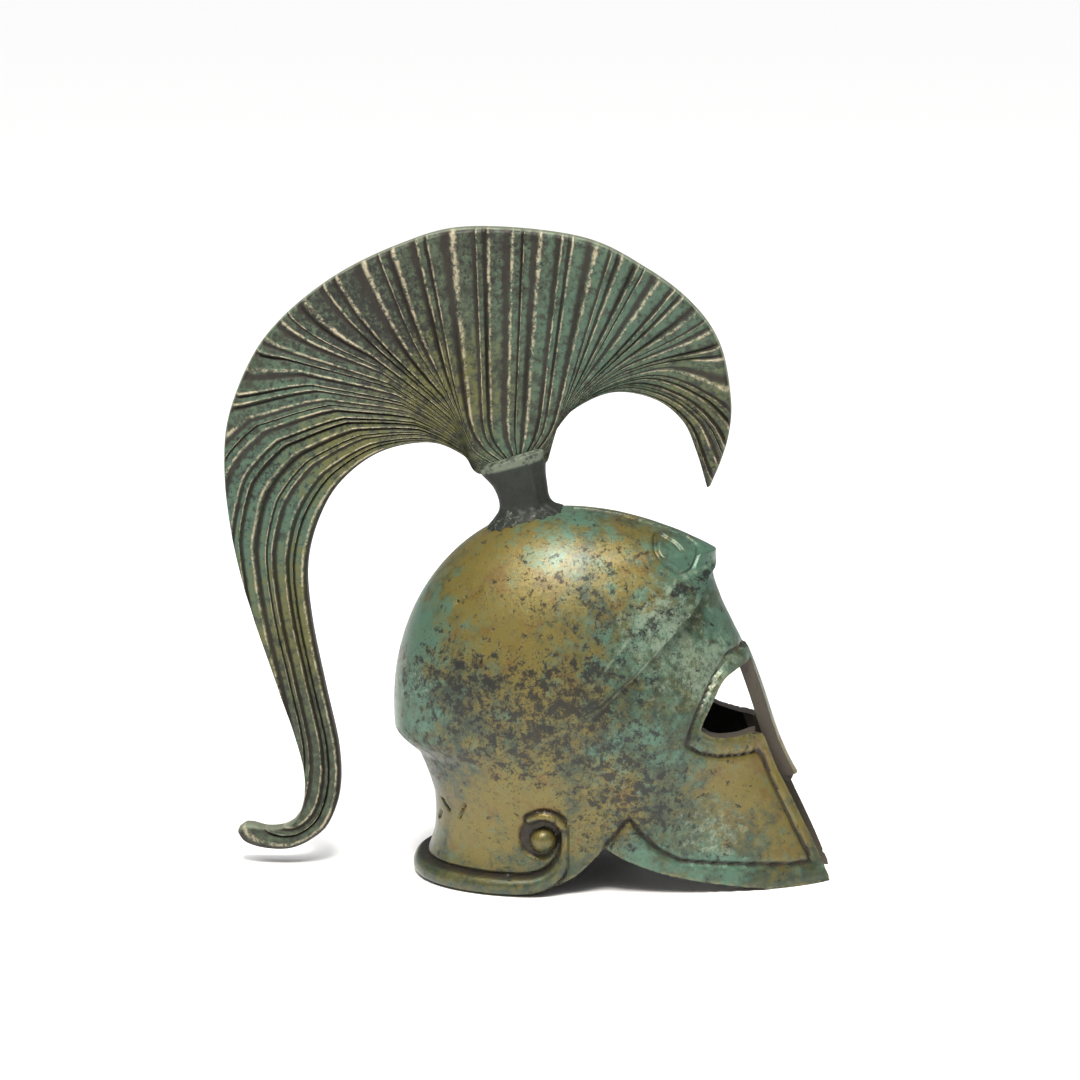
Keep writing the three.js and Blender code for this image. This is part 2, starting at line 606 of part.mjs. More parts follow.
// A lock of hair from the socket to the outer edge, as points an even share of its length apart.
// Lock 0 runs along the inner edge of the tail and lock 1 under the front hook. Places on it are
// found both at even heights and at even rows, because it may run along a row or across them all.
function lockPath(lock, count) {
  const firstRow = mix(LIP_LEFT, LIP_RIGHT, lock);
  const lastRow = read(LOCKS_OUT.share, LOCKS_OUT.row, lock);
  const places = [[firstRow, 0], [lastRow, 1]];
  for (let i = 1; i < LOCK_SAMPLES; i++) {
    const height = i / LOCK_SAMPLES;
    let low = 0;
    let high = PLUME.innerX.length - 1;
    for (let round = 0; round < 30; round++) {
      const middle = (low + high) / 2;
      if (locksBelow(middle, height) < lock) low = middle;
      else high = middle;
    }
    places.push([low, height]);
    const row = mix(firstRow, lastRow, height);
    const inner = locksBelow(row, 0);
    const reach = (lock - inner) / (locksBelow(row, 1) - inner);
    if (Math.abs(lastRow - firstRow) > 0.5 && reach > 0 && reach < 1) places.push([row, reach]);
  }
  const progress = ([row, height]) => height + Math.abs(row - firstRow);
  places.sort((a, b) => progress(a) - progress(b));
  const path = places.map(([row, height]) => plumeEdge('inner', row).lerp(plumeEdge('outer', row), height));
  const lengths = [0];
  for (let i = 1; i < path.length; i++) lengths.push(lengths[i - 1] + path[i].distanceTo(path[i - 1]));
  const xs = path.map((point) => point.x);
  const zs = path.map((point) => point.y);
  const even = [];
  for (let i = 0; i < count; i++) {
    const target = (lengths[lengths.length - 1] * i) / (count - 1);
    even.push([read(lengths, xs, target), read(lengths, zs, target)]);
  }
  return even;
}

// Columns of the plume are closer together where few locks make a long edge, as along the tail.
function lockOfColumn(share) {
  const rows = PLUME.innerX.length - 1;
  const spread = LOCKS_OUT.row.map((row, i) => mix(row / rows, LOCKS_OUT.share[i], 0.55));
  return mix(1e-6, 1 - 1e-6, read(spread, LOCKS_OUT.share, share));
}

function plume() {
  const columns = 2 * LOCK_COUNT + 1;
  const paths = [];
  for (let column = 0; column < columns; column++) {
    paths.push(lockPath(lockOfColumn(column / (columns - 1)), LOCK_ROWS));
  }
  const positions = [];
  for (const side of [-1, 1]) {
    paths.forEach((path, column) => path.forEach(([x, z], row) => {
      const [nextX, nextZ] = paths[Math.min(columns - 1, column + 1)][row];
      const [lastX, lastZ] = paths[Math.max(0, column - 1)][row];
      const spacing = Math.hypot(nextX - lastX, nextZ - lastZ);
      const ridge = column % 2 === 1 ? LOCK_RAISE * Math.min(1, spacing / LOCK_FULL_SPACING) : 0;
      positions.push(x, side * (PLUME_HALF_THICKNESS + ridge), z);
    }));
  }
  const triangles = [];
  const other = columns * LOCK_ROWS;
  const quad = (a, b, c, d) => triangles.push(a, c, b, a, d, c);
  for (let column = 0; column + 1 < columns; column++) {
    for (let row = 0; row + 1 < LOCK_ROWS; row++) {
      const a = column * LOCK_ROWS + row;
      quad(a, a + 1, a + 1 + LOCK_ROWS, a + LOCK_ROWS);
      quad(other + a, other + a + LOCK_ROWS, other + a + LOCK_ROWS + 1, other + a + 1);
    }
    const base = column * LOCK_ROWS;
    const end = base + LOCK_ROWS - 1;
    quad(base, base + LOCK_ROWS, other + base + LOCK_ROWS, other + base);
    quad(end, other + end, other + end + LOCK_ROWS, end + LOCK_ROWS);
  }
  for (let row = 0; row + 1 < LOCK_ROWS; row++) {
    const last = (columns - 1) * LOCK_ROWS + row;
    quad(row, other + row, other + row + 1, row + 1);
    quad(last, last + 1, other + last + 1, other + last);
  }
  return toSolid(positions, triangles);
}

// Rings between left and right edges, with rounded corners.
function socket() {
  const sides = SOCKET.sides;
  const rounded = (value) => Math.sign(value) * Math.pow(Math.abs(value), SOCKET.cornerPower);
  const rings = SOCKET.leftX.map((leftX, i) => {
    const ring = [];
    for (let k = 0; k < sides; k++) {
      const turn = (2 * Math.PI * k) / sides;
      const acrossX = rounded(Math.cos(turn));
      const acrossY = rounded(Math.sin(turn));
      const share = (acrossX + 1) / 2;
      ring.push(new THREE.Vector3(mix(leftX, SOCKET.rightX[i], share), SOCKET.halfWidth[i] * acrossY,
        mix(SOCKET.leftZ[i], SOCKET.rightZ[i], share)));
    }
    return ring;
  });
  const centre = (i) => new THREE.Vector3((SOCKET.leftX[i] + SOCKET.rightX[i]) / 2, 0,
    (SOCKET.leftZ[i] + SOCKET.rightZ[i]) / 2);
  return outwardSolid(centre(0), rings, centre(rings.length - 1));
}

function crest() {
  const seat = helmetSolid(OUTER_LEVELS, 0, GAP);
  const pinHole = pinSolid(PIN_RADIUS + GAP, PIN_LOW_Z, PIN_HIGH_Z + GAP);
  return plume().add(socket()).subtract(seat).subtract(pinHole);
}

// ---------------------------------------------------------------- the object

function piece(name, solid, material) {
  const mesh = solid.getMesh();
  const geometry = new THREE.BufferGeometry();
  geometry.setAttribute('position', new THREE.BufferAttribute(new Float32Array(mesh.vertProperties), 3));
  geometry.setIndex(new THREE.BufferAttribute(new Uint32Array(mesh.triVerts), 1));
  geometry.computeVertexNormals();
  const part = new THREE.Mesh(geometry, material);
  part.name = name;
  return part;
}

const mottledBronze = new THREE.MeshStandardMaterial({ color: 0x6f7a4c, roughness: 0.42, metalness: 0.7 });
const darkBronze = new THREE.MeshStandardMaterial({ color: 0x45503c, roughness: 0.6, metalness: 0.6 });
const plainBronze = new THREE.MeshStandardMaterial({ color: 0x7a6238, roughness: 0.5, metalness: 0.8 });

const helmet = new THREE.Group();
helmet.name = 'greek_bronze_helmet';
helmet.add(piece('helmet_shell', helmetShell(), mottledBronze));
helmet.add(piece('crest', crest(), darkBronze));
helmet.add(piece('crest_pin', pinSolid(PIN_RADIUS, PIN_LOW_Z, PIN_HIGH_Z), plainBronze));

export default helmet;
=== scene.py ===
# %% [markdown]
# # A small bronze helmet with a tall crest
#
# The helmet is a lost-wax casting about 15 cm tall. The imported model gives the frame: its sizes and
# places are exact but its faces are flat. Here each casting is made again as a fine mesh from the
# same driving sizes, in millimetres, and is turned into metres when its mesh is written.

# %% Load the frame
import math
import bpy
import numpy as np
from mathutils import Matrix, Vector


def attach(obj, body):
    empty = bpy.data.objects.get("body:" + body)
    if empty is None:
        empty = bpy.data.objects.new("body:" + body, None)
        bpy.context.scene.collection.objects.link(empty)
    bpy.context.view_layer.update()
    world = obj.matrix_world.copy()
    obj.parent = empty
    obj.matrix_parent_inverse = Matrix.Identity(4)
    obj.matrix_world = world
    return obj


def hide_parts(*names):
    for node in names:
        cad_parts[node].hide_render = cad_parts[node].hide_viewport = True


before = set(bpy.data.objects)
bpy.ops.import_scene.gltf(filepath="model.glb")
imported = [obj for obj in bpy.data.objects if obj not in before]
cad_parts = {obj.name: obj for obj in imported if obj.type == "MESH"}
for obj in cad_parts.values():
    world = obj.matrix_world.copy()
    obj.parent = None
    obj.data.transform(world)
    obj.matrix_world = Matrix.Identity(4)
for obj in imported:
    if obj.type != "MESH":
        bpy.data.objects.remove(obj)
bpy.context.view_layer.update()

MM = 0.001
print("frame holds", sorted(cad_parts))

# %% [markdown]
# ## Camera, floor and light
#
# The camera looks at the helmet's right side from a little above. A broad even light from overhead
# turns the floor white and leaves the sides to the light that the floor throws back, so the dark
# metal keeps its depth. One soft box stands where the bowl mirrors it as a round glow near the top.
# The standard view shows white as white, where the filmic one would grey it.

# %% Camera, floor and light
VIEW_AZIMUTH = math.radians(3.5)
VIEW_ELEVATION = math.radians(12.0)
VIEW_DISTANCE = 0.805
VIEW_TARGET = Vector((0.0030, 0.0, 0.0784))


def aim(thing, place, target):
    """Put a camera or lamp at a place with its -Z axis towards the target."""
    thing.location = place
    thing.rotation_euler = (target - place).to_track_quat("-Z", "Y").to_euler()


def light(name, kind, place, power, **settings):
    """A lamp aimed at the helmet: a box that lights from its whole face, or a broad sky light."""
    lamp = bpy.data.lights.new(name, kind)
    lamp.energy = power
    for setting, value in settings.items():
        setattr(lamp, setting, value)
    thing = bpy.data.objects.new(name, lamp)
    bpy.context.scene.collection.objects.link(thing)
    aim(thing, Vector(place), VIEW_TARGET)
    return thing


away = Vector((math.sin(VIEW_AZIMUTH) * math.cos(VIEW_ELEVATION),
               -math.cos(VIEW_AZIMUTH) * math.cos(VIEW_ELEVATION),
               math.sin(VIEW_ELEVATION)))
camera = bpy.data.objects.new("camera", bpy.data.cameras.new("camera"))
camera.data.lens = 116.7
camera.data.sensor_width = 36.0
camera.data.clip_end = 20.0
bpy.context.scene.collection.objects.link(camera)
aim(camera, VIEW_TARGET + VIEW_DISTANCE * away, VIEW_TARGET)
bpy.context.scene.camera = camera

overhead = light("overhead", "SUN", (-0.10, -0.12, 1.0), 2.7, angle=math.radians(70))
overhead.visible_glossy = False
light("key_box", "AREA", (-0.03, -0.36, 0.76), 8.5, size=0.26, color=(1.0, 0.94, 0.87))
world = bpy.data.worlds.new("white_surround")
world.use_nodes = True
world.node_tree.nodes["Background"].inputs["Color"].default_value = (1.0, 1.0, 1.0, 1.0)
world.node_tree.nodes["Background"].inputs["Strength"].default_value = 0.24
bpy.context.scene.world = world
bpy.context.scene.view_settings.view_transform = "Standard"

floor_mesh = bpy.data.meshes.new("floor")
floor_mesh.from_pydata([(-8, -8, 0), (8, -8, 0), (8, 8, 0), (-8, 8, 0)], [], [(0, 1, 2, 3)])
floor = bpy.data.objects.new("floor", floor_mesh)
bpy.context.scene.collection.objects.link(floor)
print("camera", round(VIEW_DISTANCE, 3), "m away")

# %% [markdown]
# ## Reading tables and measuring distances
#
# Every outline is a short table. `flow` reads one smoothly without overshooting, and `curve` runs a
# Catmull-Rom curve through its rows. Distances to drawn lines shape every groove and border.

# %% Small maths on whole arrays


def mix(a, b, share):
    """a where share is 0, b where it is 1, and a straight run between."""
    return a + (b - a) * share


def smooth(low, high, value):
    """0 below low, 1 above high, and 3t^2 - 2t^3 between."""
    t = np.clip((value - low) / (high - low), 0.0, 1.0)
    return t * t * (3.0 - 2.0 * t)


def flow(keys, values, at):
    """Monotone cubic: slopes at a row are the harmonic mean of the slopes on both sides of it."""
    keys, values = np.asarray(keys, float), np.asarray(values, float)
    span = np.diff(keys)
    slope = np.diff(values) / span
    tangent = np.concatenate([slope[:1], np.zeros(len(keys) - 2), slope[-1:]])
    product = slope[:-1] * slope[1:]
    total = np.where(product > 0, slope[:-1] + slope[1:], 1.0)
    tangent[1:-1] = np.where(product > 0, 2.0 * product / total, 0.0)
    row = np.clip(np.searchsorted(keys, at, side="right") - 1, 0, len(keys) - 2)
    t = np.clip((at - keys[row]) / span[row], 0.0, 1.0)
    start = (2 * t - 3) * t * t + 1
    rise = ((t - 2) * t + 1) * t * span[row] * tangent[row]
    fall = (t - 1) * t * t * span[row] * tangent[row + 1]
    return start * values[row] + (1 - start) * values[row + 1] + rise + fall


def curve(column, t):
    """Catmull-Rom through a column of numbers, one row to each unit of t."""
    column = np.asarray(column, float)
    padded = np.concatenate([[2 * column[0] - column[1]], column, [2 * column[-1] - column[-2]]])
    row = np.clip(np.floor(t).astype(int), 0, len(column) - 2)
    s = t - row
    a, b, c, d = padded[row], padded[row + 1], padded[row + 2], padded[row + 3]
    return b + 0.5 * s * (c - a + s * (2 * a - 5 * b + 4 * c - d + s * (3 * (b - c) + d - a)))


def smooth_line(points, steps=6):
    """A Catmull-Rom line through the given points, with this many steps from each to the next."""
    points = np.asarray(points, float)
    t = np.linspace(0, len(points) - 1, (len(points) - 1) * steps + 1)
    return np.stack([curve(points[:, k], t) for k in range(points.shape[1])], axis=-1)


def to_line(places, line):
    """Distance from each place to a line of points, and how far along the line that is, in points."""
    best = np.full(places.shape[:-1], np.inf)
    along = np.zeros(places.shape[:-1])
    for i in range(len(line) - 1):
        step = line[i + 1] - line[i]
        share = np.clip(((places - line[i]) @ step) / max(step @ step, 1e-12), 0.0, 1.0)
        gap = np.linalg.norm(places - line[i] - share[..., None] * step, axis=-1)
        along = np.where(gap < best, i + share, along)
        best = np.minimum(best, gap)
    return best, along


def inside(places, outline):
    """True where an upright ray from the place crosses the closed outline an odd number of times."""
    x, z = places[..., 0], places[..., 1]
    odd = np.zeros(x.shape, bool)
    for (x0, z0), (x1, z1) in zip(outline, np.roll(outline, -1, axis=0)):
        crosses = (x0 > x) != (x1 > x)
        run = x1 - x0 if x1 != x0 else 1e-9
        odd ^= crosses & (z < z0 + (x - x0) * (z1 - z0) / run)
    return odd


def signed(places, outline):
    """Distance to a closed outline, negative inside it."""
    outline = np.asarray(outline, float)
    gap, _ = to_line(places, np.vstack([outline, outline[:1]]))
    return np.where(inside(places, outline), -gap, gap)


print("maths ready")

# %% [markdown]
# ## The helmet's surface
#
# A level section is half an egg behind its widest point and a pointed half egg before it. The bowl
# sits over a narrower neck and face; where one turns into the other there is an overhanging edge,
# crisp at the sides and front and rounded at the back.

# %% Driving sizes of the helmet, in millimetres
WALL = 3.0
CROWN_X, CROWN_Z = 8.7, 86.3
BOWL_CENTRE_Z = 40.0
BOWL_LENGTH_BACK = 39.7
BOWL_HALF_WIDTH = 27.5
BOWL_WIDEST_X = 8.0
BOWL_WIDE_Z = 38.0
BOWL_BACK_POWER = 2.05
RIDGE_FALL = 0.0077
RIDGE_END_Z = 77.0
FRONT_POWER, BACK_POWER, NECK_BACK_POWER = 1.15, 0.95, 0.82
FACE_TOP_Z = 76.0
EDGE_DEPTH_BACK, EDGE_DEPTH_FRONT = 6.2, 2.4
INNER_SOFTNESS = 4.0
NASAL_HALF_WIDTH, NASAL_END_Z = 2.7, 22.4
NASAL_END_HALF_WIDTH, NASAL_CORNER, NASAL_THINNING = 1.4, 1.6, 0.25
SLOT_LOW, SLOT_HIGH, LOWER_LID_Z = 5.8, 7.8, 36.0
SKIRT = 1.5
WIDE, AHEAD, SLOT_BACK_X = 45.0, 90.0, 45.0
PIN_RADIUS, PIN_X, GAP = 2.0, -0.6, 0.3

CREASE = {"bearing": [0, 50, 70, 84, 94, 107, 122, 138, 155, 168, 180],
          "z": [35.1, 35.5, 36.5, 38.4, 41.4, 49.7, 58.2, 65.3, 72.0, 73.6, 75.0]}
BOWL_FRONT = {"z": [33, 40, 50, 60, 70, 72.5, 75, 77],
              "x": [60, 58.5, 55.5, 51.5, 47.0, 45.1, 43.5, 43.45]}
NECK_BACK = {"z": [-6, 0, 4.4, 7.3, 11, 14.7, 18.3, 22, 25.6, 29.2, 33, 45, 76],
             "x": [-24.6, -24.3, -23.3, -22.3, -21.4, -21.2, -21.4, -22.3, -23.6, -25.2, -27, -28.5, -14]}
FACE_FRONT = {"z": [-6, 0, 10, 20, 27, 35, 44, 52, 60, 66, 72, 76],
              "x": [76.6, 73.9, 69.8, 64.8, 60.8, 57.4, 54.4, 51.5, 47.4, 44.6, 42.8, 42.6]}
FACE_HALF_WIDTH = {"z": [-6, 0, 8, 15, 25, 33, 40, 50, 60, 76],
                   "y": [22.6, 22.4, 21.8, 22.2, 24.3, 26.0, 26.3, 25.0, 22.5, 16]}
FACE_WIDEST = {"z": [0, 20, 40, 76], "x": [5, 6, 8, 8]}


def section(bearing, back_x, front_x, widest_x, half_width, back_power, front_power):
    """x runs with the cosine of the bearing; y is the half width times a power of its sine."""
    c, s = np.cos(bearing), np.abs(np.sin(bearing))
    x = np.where(c > 0, widest_x - (widest_x - back_x) * c, widest_x - (front_x - widest_x) * c)
    y = half_width * np.where(c > 0, s ** back_power, s ** front_power)
    return x, y


def bowl(bearing, z):
    """Section of the bowl at height z: nearly elliptic behind, a parabola along the front ridge."""
    rise = CROWN_Z - BOWL_CENTRE_Z
    back = np.sqrt(np.maximum(0, 1 - (np.abs(z - BOWL_CENTRE_Z) / rise) ** BOWL_BACK_POWER))
    up = (np.maximum(z, BOWL_WIDE_Z) - BOWL_WIDE_Z) / (CROWN_Z - BOWL_WIDE_Z)
    sides = np.sqrt(np.maximum(0, 1 - up ** 2))
    ridge = CROWN_X + np.sqrt(np.maximum(0, CROWN_Z - z) / RIDGE_FALL)
    front_x = np.where(z > RIDGE_END_Z, ridge, flow(BOWL_FRONT["z"], BOWL_FRONT["x"], z))
    widest_x = mix(BOWL_WIDEST_X, CROWN_X, smooth(60, CROWN_Z, z))
    back_x = CROWN_X - BOWL_LENGTH_BACK * back
    return section(bearing, back_x, front_x, widest_x, BOWL_HALF_WIDTH * sides, BACK_POWER, FRONT_POWER)


def face(bearing, z):
    """Section of the neck and face at height z, from their tables."""
    back_power = mix(NECK_BACK_POWER, BACK_POWER, smooth(0, 30, z))
    return section(bearing,
                   flow(NECK_BACK["z"], NECK_BACK["x"], z), flow(FACE_FRONT["z"], FACE_FRONT["x"], z),
                   flow(FACE_WIDEST["z"], FACE_WIDEST["x"], z),
                   flow(FACE_HALF_WIDTH["z"], FACE_HALF_WIDTH["y"], z), back_power, FRONT_POWER)


def crease_height(left):
    """Height of the edge under the bowl at a bearing from 0, the back, to pi, the front."""
    return flow(CREASE["bearing"], CREASE["z"], np.degrees(left))


def skin(bearing, level, softness=0.0):
    """Level 1 is the crown, 0 the edge, -1 the foot of its overhang and -2 just under the floor."""
    left = np.where(bearing <= np.pi, bearing, 2 * np.pi - bearing)
    side = np.where(bearing <= np.pi, 1.0, -1.0)
    top = crease_height(left)
    crisp = smooth(math.radians(60), math.radians(110), left)
    depth = mix(EDGE_DEPTH_BACK, EDGE_DEPTH_FRONT, crisp) + softness
    z = np.where(level > 0, top + (CROWN_Z - top) * np.sin(np.clip(level, 0, 1) * np.pi / 2),
                 np.where(level > -1, top + level * depth, mix(top - depth, -SKIRT, -1 - level)))
    bowl_x, bowl_y = bowl(left, z)
    face_x, face_y = face(left, np.minimum(z, FACE_TOP_Z))
    fall = np.clip((top + softness - z) / (depth + softness), 0, 1)
    rounded = fall * fall * (3 - 2 * fall)
    share = mix(rounded, 1 - (1 - fall) ** 1.8, crisp * (softness == 0))
    return np.stack([mix(bowl_x, face_x, share), side * mix(bowl_y, face_y, share), z], axis=-1)


def grid_normals(rings):
    """Cross product of the two directions of the grid, turned away from the helmet's axis."""
    around = np.roll(rings, -1, axis=1) - np.roll(rings, 1, axis=1)
    up = np.gradient(rings, axis=0)
    normal = np.cross(around, up)
    normal /= np.maximum(np.linalg.norm(normal, axis=-1, keepdims=True), 1e-9)
    outward = rings - np.array([CROWN_X, 0, 0])
    flip = (normal[..., 0] * outward[..., 0] + normal[..., 1] * outward[..., 1]) < 0
    return np.where(flip[..., None], -normal, normal)


def even_bearings(count, z=20.0):
    """Bearings that stand an even distance apart round the section at height z."""
    fine = np.linspace(0, 2 * np.pi, 4001)
    left = np.where(fine <= np.pi, fine, 2 * np.pi - fine)
    x, y = face(left, np.full_like(left, z))
    y = np.where(fine <= np.pi, y, -y)
    length = np.concatenate([[0], np.cumsum(np.hypot(np.diff(x), np.diff(y)))])
    return np.interp(np.arange(count) * length[-1] / count, length, fine)


print("skin at the brow", skin(np.array(np.pi), np.array(0.0)).round(1))

# %% [markdown]
# ## Cast relief of the shell
#
# Raised borders, engraved lines, the rolled bead with its scroll and a few casting flaws are all
# heights above the plain skin. Each is worked out from a distance to a drawn line. The distances are
# kept on the mesh too, so that the patina can darken the grooves and rub the edges bright.

# %% Lines of the relief: side views are (x, z), lines on the curved top are (x, |y|, z)
EYE = {"x": [40.6, 41.3, 42.4, 43.9, 45.2, 46.6, 48.8, 50.6, 53.0, 62.0, 80.0,
             80.0, 54.2, 52.9, 51.2, 49.0, 44.7, 42.5],
       "z": [38.7, 40.8, 42.9, 45.9, 48.4, 49.8, 50.9, 51.5, 51.5, 49.0, 45.0,
             33.0, 35.5, 36.2, 36.3, 36.1, 36.5, 37.3]}
NASAL_TIP_CUT = {"x": [60.6, 62.0, 70, 70], "z": [20.5, 24.4, 24.4, 20.5]}
GROUND_LINE = {"x": [-1, 4.3, 7.7, 11.2, 13.4, 15.7, 17.5, 19.2, 22.5, 27.1, 31.7, 38.5, 45.3, 52.2, 58.0],
               "z": [0, 0.7, 2.1, 3.9, 5.4, 7.6, 9.5, 11.2, 9.1, 7.0, 5.3, 3.5, 2.1, 0.9, 0.0]}
EYE_BORDER = {"x": [53.5, 50.0, 47.0, 44.8, 43.0, 41.5, 40.1, 39.1, 38.0, 40.5, 44.7, 49.5, 53.4, 60, 62],
              "z": [53.0, 54.6, 54.0, 51.4, 48.2, 45.0, 42.1, 39.1, 35.9, 34.1, 32.8, 32.4, 32.5, 32.5, 48]}
CHEEK_FRONT_BORDER = {"x": [53.4, 55.1, 57.6, 60.0, 62.9, 66.0, 66.8, 80, 80],
                      "z": [32.6, 31.0, 24.5, 19.6, 13.2, 7.2, 4.4, -6, 33]}
CHEEK_FOOT_BORDER = {"x": [66.9, 61.6, 51.0, 45.3, 36.2, 31.4, 27.1, 24.6, 21.0, 19.5, 22.5, 30, 80],
                     "z": [4.4, 4.6, 5.7, 6.3, 7.4, 10.0, 13.9, 17.6, 13.0, 11.2, 5.0, -6, -6]}
NECK_BEAD = {"x": [-26, -16, -4, 3, 7.6, 10.0, 10.4, 8.6, 5.2, 2.0],
             "z": [2.0, 2.0, 2.1, 2.7, 5.2, 9.4, 14.2, 17.9, 19.3, 18.2],
             "radius": [2.3, 2.3, 2.2, 2.1, 1.8, 1.5, 1.2, 1.0, 0.9, 0.8]}
BROW_LINE = [(11.1, 1.1, 86.3), (16.8, 1.4, 85.7), (26, 1.9, 83.8), (33.6, 1.7, 81.4), (36.6, 1.6, 80.2),
             (38.1, 2.5, 79.3), (39.4, 4.1, 78.2), (39.4, 7.0, 76.7), (38.5, 9.3, 74.5), (36.1, 11.5, 73.7),
             (33.3, 12.1, 75.1), (31.1, 11.9, 76.9), (29.8, 10.0, 79.1), (29.8, 6.3, 81.3), (30.9, 5.2, 81.4),
             (32.4, 5.8, 80.5), (34, 6.2, 79.7), (35.6, 7.7, 78.2)]
SLITS = [[(-15.2, 66.9), (-9.4, 70.3)], [(-9.2, 56.6), (-8.9, 53.8)], [(-18.9, 19.4), (-17.1, 17.3)],
         [(-14.6, 16.4), (-13.1, 19.9)], [(-19.9, 14.1), (-19.2, 16.0)]]
BORDER_RAISE = 0.55
GROOVE_DEPTH = 0.45
BROW_DEPTH = 0.65
SLIT_DEPTH = 0.55
BEAD_PROUD = 0.3
BEAD_GROOVE_DEPTH = 0.35
SCROLL_DEPTH = 0.9
UNEVENNESS = 0.07
FAR = 9.0
SCROLL_X, SCROLL_Z, SCROLL_RECESS, SCROLL_KNOB = 4.3, 13.8, 5.4, 2.9
EDGE_ROUND = 0.7


def outline(table):
    """A table's x and z columns as rows of a closed outline."""
    return np.stack([table["x"], table["z"]], axis=-1).astype(float)


def ripple(p):
    """A sum of slow sine waves that don't repeat within the helmet, from -1 to 1."""
    x, y, z = p[..., 0], p[..., 1], p[..., 2]
    waves = np.sin(0.31 * x + 0.23 * y + 1.1) + np.sin(0.27 * z - 0.19 * x + 0.4)
    waves += np.sin(0.37 * y + 0.29 * z + 2.2) + 0.6 * np.sin(0.71 * x - 0.53 * z + 0.33 * y)
    return waves / 3.6


def settled(line):
    """Each place of a line moved to the nearest place of the plain skin, on the side where y is
    positive, so that the distance to the line falls to nothing on the skin."""
    bearing, level = np.meshgrid(np.linspace(0, np.pi, 361), np.linspace(0, 1, 200))
    places = skin(bearing, level).reshape(-1, 3)
    return places[np.argmin(np.linalg.norm(line[:, None, :] - places[None, :, :], axis=-1), axis=1)]


BROW_GROOVE = settled(smooth_line(BROW_LINE, 4))


def shell_fields(p):
    """Distances from places on the shell to everything drawn on it, in millimetres."""
    side_view = p[..., [0, 2]]
    folded = p * np.array([1, 0, 1]) + np.abs(p) * np.array([0, 1, 0])
    y, z = folded[..., 1], p[..., 2]
    borders = np.minimum.reduce([signed(side_view, outline(b)) for b in
                                 (EYE_BORDER, CHEEK_FRONT_BORDER, CHEEK_FOOT_BORDER)])
    brow, _ = to_line(folded, BROW_GROOVE)
    bead_line = smooth_line(np.stack([NECK_BEAD["x"], NECK_BEAD["z"], NECK_BEAD["radius"]], axis=-1), 5)
    bead, bead_along = to_line(side_view, bead_line[:, :2])
    radius = np.interp(bead_along, np.arange(len(bead_line)), bead_line[:, 2])
    slits = np.minimum.reduce([to_line(side_view, np.array(s, float))[0] for s in SLITS])
    ground = outline(GROUND_LINE)
    ground = np.vstack([[(-60, 0)], ground, [(90, 0)]])
    ground_gap, _ = to_line(side_view, ground)
    eye = signed(side_view, outline(EYE))
    slot_half = np.interp(z, [0, LOWER_LID_Z], [SLOT_LOW, SLOT_HIGH])
    in_slot_rows = (z < LOWER_LID_Z) & (p[..., 0] > SLOT_BACK_X)
    slot = np.where(in_slot_rows, np.where(y > slot_half, y - slot_half, np.abs(NASAL_HALF_WIDTH - y)), FAR)
    on_nasal = (z > NASAL_END_Z) & (z < 51) & (p[..., 0] > 48) & (y < 4)
    nasal_side = np.where(on_nasal, NASAL_HALF_WIDTH - y, FAR)
    rounded = np.minimum(ground_gap, np.where(y > NASAL_HALF_WIDTH, np.abs(eye), FAR))
    cut = np.minimum.reduce([rounded, slot, np.abs(nasal_side)])
    return {"border": borders, "brow": brow, "bead": bead, "bead_radius": radius, "slit": slits,
            "cut": cut, "rounded": rounded,
            "scroll": np.hypot(p[..., 0] - SCROLL_X, z - SCROLL_Z),
            "knob": np.hypot(p[..., 0] - SCROLL_X - 0.7, z - SCROLL_Z + 0.8)}


def shell_height(p, f):
    """How far the finished surface stands out from the plain skin, in millimetres."""
    low = smooth(26, 22, p[..., 2])
    height = BORDER_RAISE * smooth(0.25, -0.25, f["border"])
    height = height - GROOVE_DEPTH * np.exp(-((f["border"] - 0.55) / 0.45) ** 2)
    height = height - BROW_DEPTH * smooth(0.75, 0.25, f["brow"])
    roll = np.sqrt(np.maximum(0, f["bead_radius"] ** 2 - f["bead"] ** 2))
    behind = smooth(13, 9, p[..., 0]) * low
    bead = np.where((roll > 0) & (behind > 0.5), (roll + BEAD_PROUD) * behind, -FAR)
    groove = BEAD_GROOVE_DEPTH * np.exp(-((f["bead"] - f["bead_radius"] - 0.3) / 0.4) ** 2)
    recess = SCROLL_DEPTH * smooth(SCROLL_RECESS, SCROLL_RECESS - 0.9, f["scroll"]) * low
    knob = np.sqrt(np.maximum(0, SCROLL_KNOB ** 2 - f["knob"] ** 2))
    knob = np.where(f["knob"] < SCROLL_KNOB, knob - SCROLL_DEPTH, -FAR)
    height = np.maximum(height - recess - groove * behind, bead)
    height = np.where(low > 0.5, np.maximum(height, knob), height)
    height = height - SLIT_DEPTH * smooth(0.45, 0.1, f["slit"])
    near_edge = np.clip(EDGE_ROUND - f["rounded"], 0, EDGE_ROUND)
    rounding = EDGE_ROUND - np.sqrt(EDGE_ROUND ** 2 - near_edge ** 2)
    return height - rounding + UNEVENNESS * ripple(p)


print("relief ready")

# %% [markdown]
# ## Making solids and cutting them
#
# Each form is a closed tube of rings with a point at each end. Openings are cut through it with
# prisms, as a founder would file them. Faces remember whether they are cast skin, inner wall or cut.

# %% Closed meshes and cuts
SKIN, INNER, CUT = 0, 1, 2


